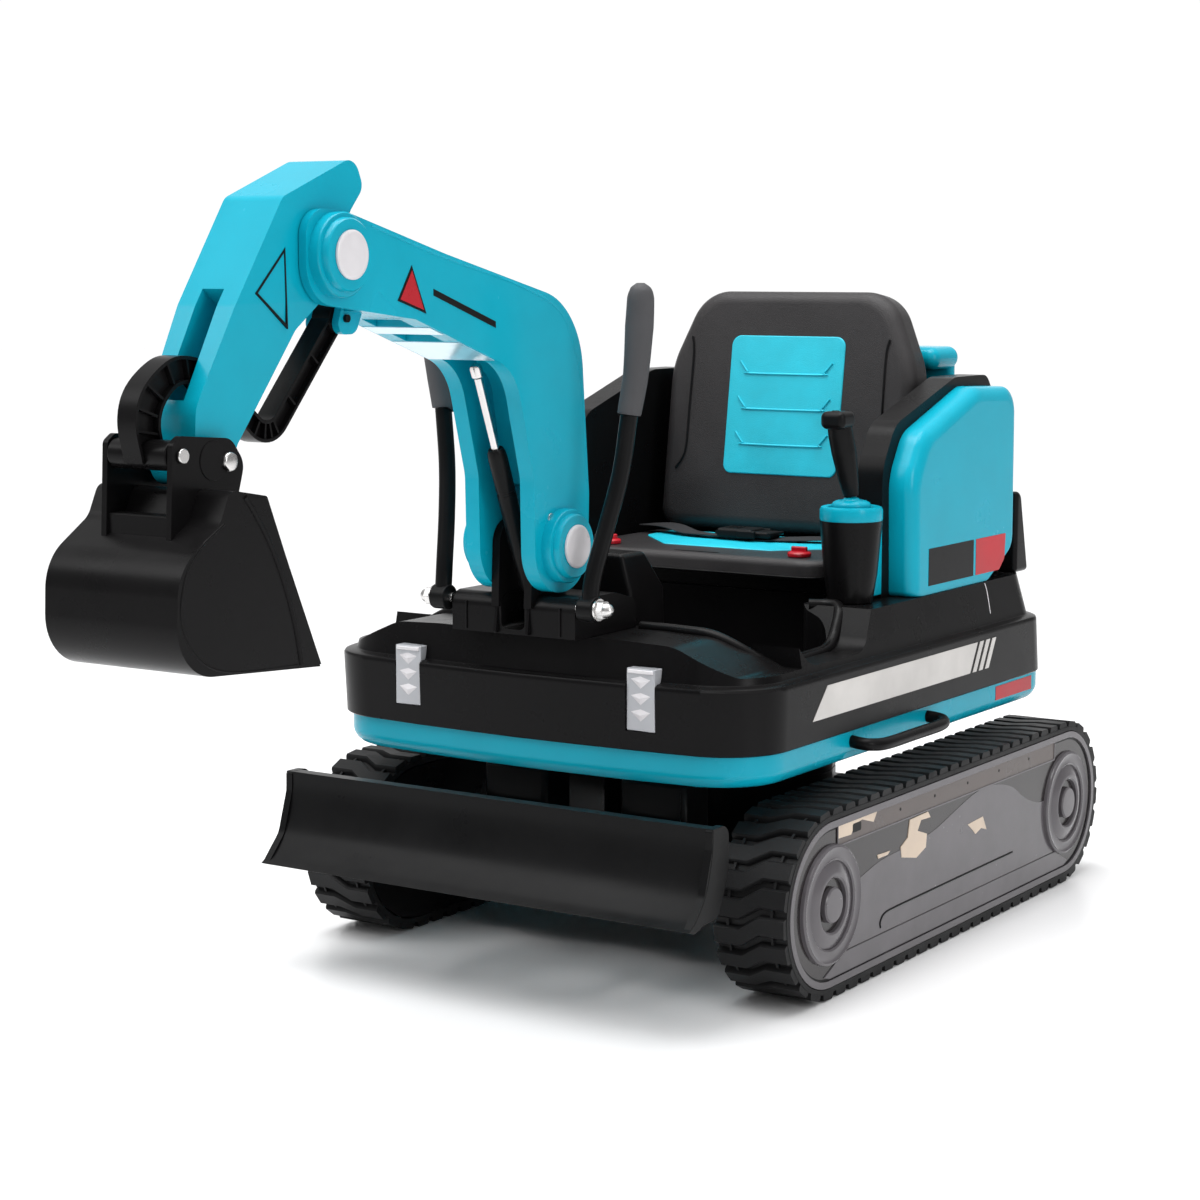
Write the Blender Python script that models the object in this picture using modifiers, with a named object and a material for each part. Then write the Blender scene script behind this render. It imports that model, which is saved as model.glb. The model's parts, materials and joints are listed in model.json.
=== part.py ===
"""A child's ride-on digger: tracked undercarriage, slewing upper body with a seat, and a jointed digging arm.

Metres, +Z up. The machine faces -Y and the rider's left hand is at +X. Every moving piece is parented to an
empty that stands on its joint's axis. All sizes are laid out about the middle plane X = 0, and the last step
moves the whole machine so that the centre of its footprint on the floor is the origin.
"""
import math

import bmesh
import bpy
from mathutils import Matrix, Vector

GAP = 0.0004                 # air left between two pieces that touch
RUNNING = 0.0007             # radial air between a shaft and the hole it turns in

# Undercarriage
WHEELBASE = 0.575
FRONT_HUB_Y = -0.250
REAR_HUB_Y = FRONT_HUB_Y + WHEELBASE
BELT_RADIUS = 0.095          # to the tips of the lugs, so also the height of the hubs
LIFT = 2 * (BELT_RADIUS - 0.095)    # taller belts carry everything above them higher
LUG_HEIGHT = 0.0065
BAND_THICKNESS = 0.0050
LUG_PITCH = 0.0262
TRACK_INNER_X = 0.2135
TRACK_WIDTH = 0.0780
COVER_THICKNESS = 0.0080
WHEEL_WIDTH = 0.0480
STUB_RADIUS = 0.0090
POST_X = (0.045, 0.125)
POST_DEPTH = 0.050
POST_TOP = 0.1950 + LIFT
COLUMN_RADIUS = 0.130
COLUMN_TOP = 0.1600
SLEW_Y = 0.030
SLEW_RING_TOP = 0.1850
BLADE_HALF_WIDTH = 0.2555
BLADE_PIVOT = (-0.268, 0.120)

# Upper body
PAN_BOTTOM = 0.2150
PAN_TOP = 0.2480
PAN_INSET = 0.0070
BODY_BOTTOM = PAN_TOP + GAP
BELT_LINE = 0.3120
DECK = 0.3225
SILL = 0.3625
BODY_HALF_WIDTH = 0.262
BODY_FRONT = -0.366
BODY_REAR = 0.350
WALL = 0.005
HUMP_TOP = 0.3525
FOOTWELL_HALF_WIDTH = 0.207
FOOTWELL_FRONT = -0.250
FOOTWELL_REAR = -0.006
FLOOR = 0.2680
ARMREST_X = (0.1810, 0.2110)
HOOD_OUTER_X = 0.2410
SURROUND_REAR = 0.2860
SEAT_HALF_WIDTH = 0.166
SEAT_TOP = 0.4030
SEAT_DEPTH = 0.165
BACK_HALF_WIDTH = 0.160
BACK_TOP = 0.687
BACK_THICKNESS = 0.045
BACK_RECLINE = math.radians(8)
SEAT_FRONT = -0.036
SEAT_LIP = 0.0220            # the seat's front overhangs the foot well by this thick a lip
KNOB = (0.1210, -0.010)
CONSOLE = (0.1985, -0.040)
CONSOLE_RADIUS = 0.0330
CONSOLE_TOP = 0.4640
LEVER_X = 0.0880
LEVER_PIVOT = (-0.368, 0.384)
HEADLIGHT_X = 0.140
LAMP_BACK = -0.3405

# Arm
CAP_RADIUS = 0.0212
BOOM_PIVOT = (-0.345, 0.441)
BOOM_HALF = 0.0410
BOOM_CHANNEL = 0.0245        # half width of the open channel under the boom
EAR = (0.0150, 0.0238)       # the bracket's ears, inside that channel
HUB_RADIUS = 0.0365
HUB_FACE = 0.0575
DIPPER_PIVOT = (-0.690, 0.722)
DIPPER_HALF = 0.0320
FORK_HALF = DIPPER_HALF + 0.0010
FORK_RADIUS = 0.0600
BUCKET_PIVOT = (-0.829, 0.554)
BUCKET_HALF = 0.0720
BUCKET_WALL = 0.0040
LINK_PIN = (-0.885, 0.562)
LINK_HALF = 0.0100
REAR_LINK_PIN = (-0.650, 0.667)
STRUT_FOOT = (-0.334, 0.374)
STRUT_HEAD = (-0.432, 0.618)
STRUT_RADIUS = 0.0095
ROD_RADIUS = 0.0042

TURQUOISE, BLACK, DARK = (0.0, 0.42, 0.55), (0.025, 0.025, 0.027), (0.05, 0.05, 0.055)
RUBBER, SMOKE, STEEL = (0.02, 0.02, 0.02), (0.17, 0.17, 0.18), (0.6, 0.6, 0.62)
RED, PALE, CLEAR, LEATHER = (0.75, 0.02, 0.06), (0.75, 0.75, 0.76), (0.8, 0.82, 0.84), (0.045, 0.042, 0.042)
AXES = {"X": Vector((1, 0, 0)), "Y": Vector((0, 1, 0)), "Z": Vector((0, 0, 1))}
SIDES = (("left", 1), ("right", -1))


# ---------------------------------------------------------------- tools
def clear_scene():
    for obj in list(bpy.data.objects):
        bpy.data.objects.remove(obj)


def material(name, colour, roughness, metallic=0.0):
    found = bpy.data.materials.get(name)
    if found:
        return found
    made = bpy.data.materials.new(name)
    made.use_nodes = True
    shader = made.node_tree.nodes["Principled BSDF"]
    shader.inputs["Base Color"].default_value = (*colour, 1)
    shader.inputs["Roughness"].default_value = roughness
    shader.inputs["Metallic"].default_value = metallic
    return made


def paint(obj, colour):
    roughness = {TURQUOISE: 0.3, BLACK: 0.45, STEEL: 0.3, CLEAR: 0.1, SMOKE: 0.25}.get(colour, 0.6)
    names = {TURQUOISE: "turquoise", BLACK: "black", DARK: "dark", RUBBER: "rubber", SMOKE: "smoke",
             STEEL: "steel", RED: "red", PALE: "pale", CLEAR: "clear", LEATHER: "leather"}
    obj.data.materials.clear()
    obj.data.materials.append(material(names[colour], colour, roughness, 1.0 if colour == STEEL else 0.0))
    return obj


def object_from(bm, name):
    bmesh.ops.remove_doubles(bm, verts=bm.verts, dist=1e-6)
    bmesh.ops.recalc_face_normals(bm, faces=bm.faces)
    if bm.calc_volume(signed=True) < 0:
        bmesh.ops.reverse_faces(bm, faces=bm.faces)
    mesh = bpy.data.meshes.new(name)
    bm.to_mesh(mesh)
    bm.free()
    obj = bpy.data.objects.new(name, mesh)
    bpy.context.scene.collection.objects.link(obj)
    return obj


def bake(obj):
    """Replaces an object by the mesh that its modifiers or its curve give."""
    bpy.context.view_layer.update()
    mesh = bpy.data.meshes.new_from_object(obj.evaluated_get(bpy.context.evaluated_depsgraph_get()))
    mesh.transform(obj.matrix_world)
    bm = bmesh.new()
    bm.from_mesh(mesh)
    name = obj.name
    bpy.data.objects.remove(obj)
    bpy.data.meshes.remove(mesh)
    return object_from(bm, name)


def boolean(obj, tools, operation):
    """obj joined with, or cut by, each tool in turn. The tools are used up."""
    for tool in tools:
        modifier = obj.modifiers.new("cut", "BOOLEAN")
        modifier.operation = operation
        modifier.object = tool
        modifier.solver = "EXACT"
        obj = bake(obj)
        bpy.data.objects.remove(tool)
    return obj


def joined(obj, *tools):
    return boolean(obj, tools, "UNION")


def cut(obj, *tools):
    return boolean(obj, tools, "DIFFERENCE")


def softened(obj, width, segments=2, angle=40):
    """Rounds an object's sharp edges."""
    modifier = obj.modifiers.new("round", "BEVEL")
    modifier.width = width
    modifier.segments = segments
    modifier.limit_method = "ANGLE"
    modifier.angle_limit = math.radians(angle)
    modifier.use_clamp_overlap = True
    return bake(obj)


def filleted(corners, steps=4):
    """An outline from (u, v, radius) corners, each rounded by an arc of its radius."""
    outline = []
    for i, (u, v, radius) in enumerate(corners):
        here = Vector((u, v))
        before = Vector(corners[i - 1][:2]) - here
        after = Vector(corners[(i + 1) % len(corners)][:2]) - here
        if radius <= 0:
            outline.append(here)
            continue
        a, b = before.normalized(), after.normalized()
        half = a.angle(b) / 2
        reach = min(radius / math.tan(half), 0.49 * before.length, 0.49 * after.length)
        middle = here + (a + b).normalized() * (reach / math.cos(half))
        start = here + a * reach - middle
        turn = start.angle_signed(here + b * reach - middle)
        for step in range(steps + 1):
            outline.append(middle + Matrix.Rotation(-turn * step / steps, 2) @ start)
    return outline


def slab(name, outline, plane, low, high, holes=()):
    """A flat outline in a plane, YZ, XY or XZ, made thick from low to high along the third axis."""
    curve = bpy.data.curves.new(name, "CURVE")
    curve.dimensions = "2D"
    curve.fill_mode = "BOTH"
    curve.extrude = (high - low) / 2
    for loop in (outline, *holes):
        spline = curve.splines.new("POLY")
        spline.points.add(len(loop) - 1)
        spline.use_cyclic_u = True
        for point, (u, v) in zip(spline.points, loop):
            point.co = (u, v, 0, 1)
    obj = bpy.data.objects.new(name, curve)
    bpy.context.scene.collection.objects.link(obj)
    columns = {"YZ": ("Y", "Z", "X", 1), "XY": ("X", "Y", "Z", 1), "XZ": ("X", "Z", "Y", -1)}[plane]
    turn = Matrix.Identity(3)
    for i in range(3):
        turn.col[i] = AXES[columns[i]] * (columns[3] if i == 2 else 1)
    obj.matrix_world = Matrix.Translation(AXES[columns[2]] * (low + high) / 2) @ turn.to_4x4()
    return bake(obj)


def block(name, low, high):
    bm = bmesh.new()
    size = Vector(high) - Vector(low)
    place = Matrix.Translation((Vector(low) + Vector(high)) / 2) @ Matrix.Diagonal((*size, 1))
    bmesh.ops.create_cube(bm, size=1, matrix=place)
    return object_from(bm, name)


def rod(name, axis, centre, radius, low, high, segments=20, end_radius=None):
    """A cylinder or cone along an axis, from low to high along it; centre gives its other two coordinates."""
    turn = AXES["Z"].rotation_difference(AXES[axis]).to_matrix().to_4x4()
    place = Vector(centre)
    place["XYZ".index(axis)] = (low + high) / 2
    bm = bmesh.new()
    bmesh.ops.create_cone(bm, cap_ends=True, segments=segments, radius1=radius,
                          radius2=radius if end_radius is None else end_radius, depth=high - low,
                          matrix=Matrix.Translation(place) @ turn)
    return object_from(bm, name)


def turned(name, profile, centre, axis="Z", steps=20):
    """A turned solid from (radius, height) points, closed on the axis or as a ring, set along an axis."""
    mesh = bpy.data.meshes.new(name)
    ends = [(i, i + 1) for i in range(len(profile) - 1)]
    if profile[0][0] > 0:
        ends.append((len(profile) - 1, 0))
    mesh.from_pydata([(radius, 0, height) for radius, height in profile], ends, [])
    obj = bpy.data.objects.new(name, mesh)
    bpy.context.scene.collection.objects.link(obj)
    screw = obj.modifiers.new("turn", "SCREW")
    screw.steps = screw.render_steps = steps
    screw.use_merge_vertices = True
    screw.merge_threshold = 1e-6
    turn = AXES["Z"].rotation_difference(AXES[axis]).to_matrix().to_4x4()
    obj.matrix_world = Matrix.Translation(centre) @ turn
    return bake(obj)


def loft(name, rings):
    """A closed skin through rings of equally many points, with a flat face at each end."""
    bm = bmesh.new()
    rows = [[bm.verts.new(point) for point in ring] for ring in rings]
    for lower, upper in zip(rows, rows[1:]):
        for i in range(len(lower)):
            j = (i + 1) % len(lower)
            bm.faces.new((lower[i], lower[j], upper[j], upper[i]))
    bm.faces.new(rows[0])
    bm.faces.new(rows[-1])
    return object_from(bm, name)


def smooth_path(points, steps):
    """Points of a Catmull-Rom curve through the given ones."""
    ends = [points[0] * 2 - points[1], *points, points[-1] * 2 - points[-2]]
    path = []
    for a, b, c, d in zip(ends, ends[1:], ends[2:], ends[3:]):
        for step in range(steps):
            t = step / steps
            path.append(0.5 * (2 * b + (c - a) * t + (2 * a - 5 * b + 4 * c - d) * t**2
                               + (3 * b - a - 3 * c + d) * t**3))
    return [*path, points[-1]]


def tube(name, points, radius, steps=4, resolution=2, radii=None):
    """A round bar along a smooth path."""
    path = smooth_path([Vector(p) for p in points], steps)
    curve = bpy.data.curves.new(name, "CURVE")
    curve.dimensions = "3D"
    curve.bevel_depth = radius
    curve.bevel_resolution = resolution
    curve.use_fill_caps = True
    spline = curve.splines.new("POLY")
    spline.points.add(len(path) - 1)
    for i, (point, co) in enumerate(zip(spline.points, path)):
        point.co = (*co, 1)
        if radii:
            share = i / (len(path) - 1) * (len(radii) - 1)
            k = min(int(share), len(radii) - 2)
            point.radius = radii[k] + (radii[k + 1] - radii[k]) * (share - k)
    obj = bpy.data.objects.new(name, curve)
    bpy.context.scene.collection.objects.link(obj)
    return bake(obj)


def mirrored(obj, name):
    """The other side's copy of a piece, as its own object."""
    bm = bmesh.new()
    bm.from_mesh(obj.data)
    bmesh.ops.scale(bm, vec=(-1, 1, 1), verts=bm.verts)
    made = object_from(bm, name)
    made.data.materials.append(obj.data.materials[0])
    return made


def axis_empty(name, location):
    empty = bpy.data.objects.new(name, None)
    empty.empty_display_size = 0.05
    empty.location = location
    bpy.context.scene.collection.objects.link(empty)
    bpy.context.view_layer.update()
    return empty


def carried(parent, *children):
    """Parents pieces to an empty, or an empty to another, leaving each where it is."""
    bpy.context.view_layer.update()
    for child in children:
        child.parent = parent
        child.matrix_parent_inverse = parent.matrix_world.inverted()


def circle(centre, radius, count=20):
    return [(centre[0] + radius * math.cos(2 * math.pi * i / count),
             centre[1] + radius * math.sin(2 * math.pi * i / count)) for i in range(count)]


# ---------------------------------------------------------------- tracks
def stadium_point(length, radius):
    """The point that far round the track's path, on a stadium of that radius about the two hubs."""
    arc = math.pi * (BELT_RADIUS - LUG_HEIGHT)
    lap = 2 * WHEELBASE + 2 * arc
    length = length % lap
    if length < WHEELBASE:
        return Vector((FRONT_HUB_Y + length, BELT_RADIUS + radius))
    if length < WHEELBASE + arc:
        angle = math.pi / 2 - math.pi * (length - WHEELBASE) / arc
        hub = REAR_HUB_Y
    elif length < 2 * WHEELBASE + arc:
        return Vector((REAR_HUB_Y - (length - WHEELBASE - arc), BELT_RADIUS - radius))
    else:
        angle = -math.pi / 2 - math.pi * (length - 2 * WHEELBASE - arc) / arc
        hub = FRONT_HUB_Y
    return Vector((hub + radius * math.cos(angle), BELT_RADIUS + radius * math.sin(angle)))


def stadium(radius, steps=None):
    """A plain stadium outline about the two hubs, its flats under 0.72 mm inside the true arc unless steps says else."""
    if steps is None:
        steps = math.ceil(math.pi / (2 * math.acos(1 - 0.00072 / radius)))
    outline = []
    for hub, start in ((REAR_HUB_Y, -math.pi / 2), (FRONT_HUB_Y, math.pi / 2)):
        for step in range(steps + 1):
            angle = start + math.pi * step / steps
            outline.append((hub + radius * math.cos(angle), BELT_RADIUS + radius * math.sin(angle)))
    return outline


def track_side():
    """The left track's fixed and turning pieces."""
    band = BELT_RADIUS - LUG_HEIGHT
    inner = band - BAND_THICKNESS
    lap = 2 * WHEELBASE + 2 * math.pi * band
    lugs = round(lap / LUG_PITCH)
    foot, tip = 0.66 * lap / lugs, 0.42 * lap / lugs
    outline = []
    for i in range(lugs):
        middle = (i + 0.5) * lap / lugs
        outline += [stadium_point(middle - foot / 2, band), stadium_point(middle - tip / 2, BELT_RADIUS),
                    stadium_point(middle + tip / 2, BELT_RADIUS), stadium_point(middle + foot / 2, band)]
    outer_x = TRACK_INNER_X + TRACK_WIDTH
    belt = slab("track_belt_left", outline, "YZ", TRACK_INNER_X, outer_x, holes=[stadium(inner)])
    plate_radius = inner - GAP * 2
    cover_inner = outer_x - COVER_THICKNESS + 0.002
    cover = slab("track_cover_left", stadium(plate_radius), "YZ", cover_inner, outer_x)
    rings = []
    for hub in (FRONT_HUB_Y, REAR_HUB_Y):
        for radius, proud in ((0.054, 0.0015), (0.036, 0.0030), (0.017, 0.0045)):
            rings.append(rod("ring", "X", (0, hub, BELT_RADIUS), radius, outer_x - 0.004, outer_x + proud, 24))
    cover = joined(cover, *rings)
    plate_x = TRACK_INNER_X + WALL
    frame = slab("track_frame_left", stadium(plate_radius, 8), "YZ", TRACK_INNER_X, plate_x)
    clear = inner + 0.0065
    beam = block("beam", (plate_x - 0.002, FRONT_HUB_Y + clear, BELT_RADIUS - 0.035),
                 (cover_inner - 0.006, REAR_HUB_Y - clear, BELT_RADIUS + 0.035))
    stubs = [rod("stub", "X", (0, hub, BELT_RADIUS), STUB_RADIUS, plate_x - 0.002, cover_inner - 0.001)
             for hub in (FRONT_HUB_Y, REAR_HUB_Y)]
    frame = joined(frame, beam, *stubs)
    wheel_x = plate_x + 0.006
    bore = STUB_RADIUS + RUNNING
    radius = inner - 0.007
    idler = turned("idler_left", [(bore, 0), (0.024, 0), (0.026, 0.012), (radius - 0.012, 0.014), (radius, 0.006),
                                  (radius, WHEEL_WIDTH - 0.006), (radius - 0.012, WHEEL_WIDTH - 0.014),
                                  (0.026, WHEEL_WIDTH - 0.012), (0.024, WHEEL_WIDTH), (bore, WHEEL_WIDTH)],
                   (wheel_x, FRONT_HUB_Y, BELT_RADIUS), "X", 24)
    teeth = []
    for i in range(14):
        for part, reach in ((0.0, radius - 0.009), (0.22, radius), (0.5, radius), (0.72, radius - 0.009)):
            angle = 2 * math.pi * (i + part) / 14
            teeth.append((REAR_HUB_Y + reach * math.cos(angle), BELT_RADIUS + reach * math.sin(angle)))
    sprocket = slab("sprocket_left", teeth, "YZ", wheel_x + 0.006, wheel_x + WHEEL_WIDTH - 0.006,
                    holes=[circle((REAR_HUB_Y, BELT_RADIUS), bore)])
    motor = joined(rod("drive_motor_left", "X", (0, REAR_HUB_Y, BELT_RADIUS), 0.027, 0.100, 0.175, 16),
                   softened(block("gearbox", (0.160, REAR_HUB_Y - 0.038, BELT_RADIUS - 0.036),
                                  (TRACK_INNER_X - GAP, REAR_HUB_Y + 0.038, BELT_RADIUS + 0.036)), 0.006, 1))
    return {"belt": paint(belt, RUBBER), "cover": paint(cover, SMOKE), "frame": paint(frame, BLACK),
            "idler": paint(idler, DARK), "sprocket": paint(sprocket, DARK), "motor": paint(motor, DARK)}


def undercarriage():
    left = track_side()
    for kind, piece in left.items():
        other = mirrored(piece, piece.name.replace("left", "right"))
        if kind in ("idler", "sprocket"):
            for obj, sign in ((piece, 1), (other, -1)):
                hub = FRONT_HUB_Y if kind == "idler" else REAR_HUB_Y
                carried(axis_empty(f"axis_{obj.name}", (sign * 0.25, hub, BELT_RADIUS)), obj)
    side = TRACK_INNER_X - GAP
    chassis = softened(block("chassis_frame", (-side, -0.245, 0.060), (side, -0.200, 0.112)), 0.004, 1)
    rear_beam = softened(block("rear_beam", (-side, 0.215, 0.060), (side, 0.265, 0.112)), 0.004, 1)
    spine = block("spine", (-0.060, -0.230, 0.072), (0.060, 0.250, 0.104))
    column = rod("column", "Z", (0, SLEW_Y, 0), COLUMN_RADIUS, 0.090, COLUMN_TOP + LIFT, 28)
    posts = []
    for _, sign in SIDES:
        xs = sorted((sign * POST_X[0], sign * POST_X[1]))
        posts.append(softened(block("post", (xs[0], -0.250, 0.050), (xs[1], -0.250 + POST_DEPTH, POST_TOP)), 0.005, 1))
    py, pz = BLADE_PIVOT
    profile = filleted([(-0.240, 0.101, 0), (-0.240, 0.139, 0), (py - 0.016, 0.139, 0.012), (py - 0.016, 0.101, 0.012)], 4)
    lugs = [slab("lug", profile, "YZ", *sorted((sign * 0.104, sign * 0.119))) for _, sign in SIDES]
    chassis = joined(chassis, rear_beam, spine, column, *posts, *lugs)
    chassis = cut(chassis, rod("bore", "X", (0, py, pz), 0.011 + RUNNING, -0.15, 0.15, 16))
    ring = slab("slew_ring", circle((0, SLEW_Y), COLUMN_RADIUS, 28), "XY", COLUMN_TOP + GAP + LIFT, SLEW_RING_TOP + LIFT,
                holes=[circle((0, SLEW_Y), COLUMN_RADIUS - 0.035, 28)])
    paint(chassis, BLACK)
    paint(ring, DARK)


def blade():
    """The dozer blade, concave to the front, with its two-armed frame on a cross tube."""
    front = [(-0.4150, 0.1960), (-0.4155, 0.1780), (-0.4200, 0.1560), (-0.4290, 0.1340), (-0.4440, 0.1160),
             (-0.4575, 0.1070)]
    back = [(-0.4480, 0.1040), (-0.4330, 0.1090), (-0.4170, 0.1290), (-0.4070, 0.1530), (-0.4020, 0.1780),
            (-0.4020, 0.1960)]
    half = BLADE_HALF_WIDTH
    plate = slab("blade", front + back, "YZ", -half, half)
    end = filleted([(-0.414, 0.1945, 0.004), (-0.4155, 0.176, 0), (-0.4292, 0.134, 0), (-0.455, 0.1072, 0),
                    (-0.405, 0.1100, 0.012), (-0.386, 0.1500, 0.02), (-0.386, 0.1945, 0.012)], 3)
    ends = [slab("end", end, "YZ", *sorted((sign * (half - 0.008), sign * (half - 0.0005)))) for _, sign in SIDES]
    paint(joined(plate, *ends), BLACK)
    arms = rod("blade_arm", "X", (0, *BLADE_PIVOT), 0.011, -0.128, 0.128, 14)
    profile = filleted([(-0.3990, 0.146, 0.004), (-0.4120, 0.120, 0), (-0.280, 0.108, 0.008), (-0.262, 0.116, 0.006),
                        (-0.262, 0.128, 0.006), (-0.285, 0.133, 0.01)], 2)
    profile = [(max(y, -0.4046), z) for y, z in profile]
    arms = joined(arms, *[slab("arm", profile, "YZ", *sorted((sign * 0.074, sign * 0.098))) for _, sign in SIDES])
    paint(arms, DARK)
    carried(axis_empty("axis_blade", (0, *BLADE_PIVOT)), bpy.data.objects["blade"], arms)


# ---------------------------------------------------------------- upper body
def plan(half_width, front, rear, z, bow=0.016, front_radius=0.085, rear_radius=0.050):
    """The body's outline at one height: a rounded oblong whose front edge bows out."""
    corner = front + bow
    outline = filleted([(half_width, corner, front_radius), (half_width, rear, rear_radius),
                        (-half_width, rear, rear_radius), (-half_width, corner, front_radius),
                        (-half_width * 0.36, front + bow * 0.22, 0), (0, front, 0),
                        (half_width * 0.36, front + bow * 0.22, 0)], 5)
    return [(x, y, z) for x, y in outline]


def body_shell():
    """The black tub: lower skirt, belt line, front hump, foot well and the sill that carries seat and hoods."""
    wide, front, rear = BODY_HALF_WIDTH, BODY_FRONT, BODY_REAR
    shell = loft("body_shell", [plan(wide - 0.002, front + 0.002, rear, BODY_BOTTOM),
                                plan(wide, front, rear - 0.012, BELT_LINE - 0.004),
                                plan(wide, front, rear - 0.013, BELT_LINE + 0.001),
                                plan(wide - 0.011, front + 0.011, rear - 0.017, BELT_LINE + 0.006),
                                plan(wide - 0.019, front + 0.019, rear - 0.028, SILL)])
    over = SILL + 0.01
    step = slab("step", filleted([(-0.256, over, 0), (-0.222, DECK, 0.025), (-0.106, DECK, 0.020), (-0.072, over, 0)], 3),
                "YZ", -0.4, 0.4)
    brow = filleted([(-0.30, over, 0), (-0.30, DECK, 0), (-0.225, DECK, 0.01), (-0.168, HUMP_TOP - 0.003, 0.05),
                     (-0.110, HUMP_TOP, 0), (0.110, HUMP_TOP, 0), (0.168, HUMP_TOP - 0.003, 0.05),
                     (0.225, DECK, 0.01), (0.30, DECK, 0), (0.30, over, 0)], 3)
    brow = slab("brow", brow, "XZ", -0.42, -0.238)
    half, ledge = FOOTWELL_HALF_WIDTH, FOOTWELL_HALF_WIDTH - 0.046
    well = slab("well", filleted([(-half, FOOTWELL_FRONT, 0.045), (half, FOOTWELL_FRONT, 0.045), (half, -0.092, 0.030),
                                  (ledge, -0.080, 0.015), (ledge, FOOTWELL_REAR, 0.010), (-ledge, FOOTWELL_REAR, 0.010),
                                  (-ledge, -0.080, 0.015), (-half, -0.092, 0.030)], 3), "XY", FLOOR, SILL + 0.05)
    shell = cut(shell, step, brow)
    under = FLOOR - WALL
    inside = wide - 0.012 - WALL * 2
    hollow = loft("hollow", [plan(inside, front + 0.026, rear - 0.042, z, front_radius=0.075) for z in (0.20, under)])
    nose = block("nose", (-inside + 0.115, front + 0.036, 0.20), (inside - 0.115, FOOTWELL_FRONT - WALL, DECK - WALL))
    rear_bay = block("rear_bay", (-inside + 0.010, FOOTWELL_REAR + WALL, 0.20),
                     (inside - 0.010, rear - 0.044, SILL - WALL))
    shell = cut(shell, well, hollow, nose, rear_bay)
    pockets = [block("pocket", (sign * HEADLIGHT_X - 0.016 - GAP, front - 0.02, 0.268 - GAP),
                     (sign * HEADLIGHT_X + 0.016 + GAP, LAMP_BACK, 0.329 + GAP)) for _, sign in SIDES]
    return paint(cut(shell, *pockets), BLACK)


def base_pan():
    """The turquoise tray under the tub, with the boss that turns on the slewing ring."""
    wide, front, rear = BODY_HALF_WIDTH - PAN_INSET, BODY_FRONT + PAN_INSET, BODY_REAR + 0.006
    tray = loft("base_pan", [plan(wide - 0.012, front + 0.012, rear - 0.014, PAN_BOTTOM),
                             plan(wide - 0.004, front + 0.004, rear - 0.005, PAN_BOTTOM + 0.005),
                             plan(wide, front, rear, PAN_BOTTOM + 0.014), plan(wide, front, rear, PAN_TOP)])
    inside = loft("inside", [plan(wide - 0.014, front + 0.014, rear - 0.014, PAN_BOTTOM + WALL),
                             plan(wide - WALL, front + WALL, rear - WALL, PAN_TOP + 0.01)])
    boss = rod("boss", "Z", (0, SLEW_Y, 0), COLUMN_RADIUS - 0.006, SLEW_RING_TOP + GAP, PAN_BOTTOM + 0.003, 28)
    return paint(joined(cut(tray, inside), boss), TURQUOISE)


def surround_profile(inset=0.0):
    """The side view that the arm rests and the hoods share."""
    return [(0.006 + inset, 0.500 - inset, 0.055), (0.034 + inset, 0.545 - inset, 0.040),
            (0.178, 0.590 - inset, 0.050), (0.262, 0.590 - inset, 0.022)]


def seat_surround():
    """Both arm rests and the wall behind the seat, one black moulding."""
    foot = SILL + GAP
    profile = filleted([(0.006, foot, 0), *surround_profile(), (SURROUND_REAR, 0.560, 0.02),
                        (SURROUND_REAR, foot, 0)], 4)
    rests = [softened(slab("rest", profile, "YZ", *sorted((sign * ARMREST_X[0], sign * ARMREST_X[1]))), 0.006, 2, 50)
             for _, sign in SIDES]
    wall = softened(block("seat_surround", (-ARMREST_X[0] - 0.01, SURROUND_REAR - 0.024, foot),
                          (ARMREST_X[0] + 0.01, SURROUND_REAR - 0.001, 0.580)), 0.004, 1)
    return paint(joined(wall, *rests), BLACK)


def side_hood():
    """A turquoise cover on the outside of an arm rest, rounded to the outside."""
    foot = SILL + GAP
    profile = filleted([(0.022, foot, 0), *[(y + 0.014, z - 0.010, r) for y, z, r in surround_profile()[:2]],
                        (0.182, 0.580, 0.050), (0.284, 0.5765, 0.024),
                        (SURROUND_REAR, 0.398, 0.02), (0.215, foot, 0.02)], 4)
    hood = slab("side_hood_left", profile, "YZ", ARMREST_X[1] + GAP, HOOD_OUTER_X)
    bm = bmesh.new()
    bm.from_mesh(hood.data)
    rim = [edge for edge in bm.edges if all(v.co.x > HOOD_OUTER_X - 1e-5 for v in edge.verts)
           and len({face.normal.x > 0.9 for face in edge.link_faces}) == 2
           and max(v.co.z for v in edge.verts) > foot + 1e-4]
    bmesh.ops.bevel(bm, geom=rim, offset=0.014, segments=3, profile=0.6, affect="EDGES", clamp_overlap=True)
    bpy.data.objects.remove(hood)
    return paint(object_from(bm, "side_hood_left"), TURQUOISE)


def rear_pieces():
    """The black rear cover that leans over the sill, and the turquoise hood on the wall behind the seat."""
    foot = SILL + GAP
    rear = SURROUND_REAR + GAP
    half = BODY_HALF_WIDTH - 0.022
    profile = filleted([(rear, foot, 0), (BODY_REAR - 0.029, foot, 0), (rear + 0.012, 0.456, 0.006), (rear, 0.456, 0)], 3)
    cover = slab("rear_cover", profile, "YZ", -half, half)
    cover = softened(cover, 0.005, 2, 60)
    hood = softened(block("rear_hood", (-0.160, 0.236, 0.5942), (0.160, SURROUND_REAR + 0.016, 0.620)), 0.012, 3)
    wall = block("lip", (-0.155, SURROUND_REAR + GAP, 0.470), (0.155, SURROUND_REAR + 0.014, 0.610))
    paint(joined(hood, softened(wall, 0.006, 2)), TURQUOISE)
    paint(cover, BLACK)


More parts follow.
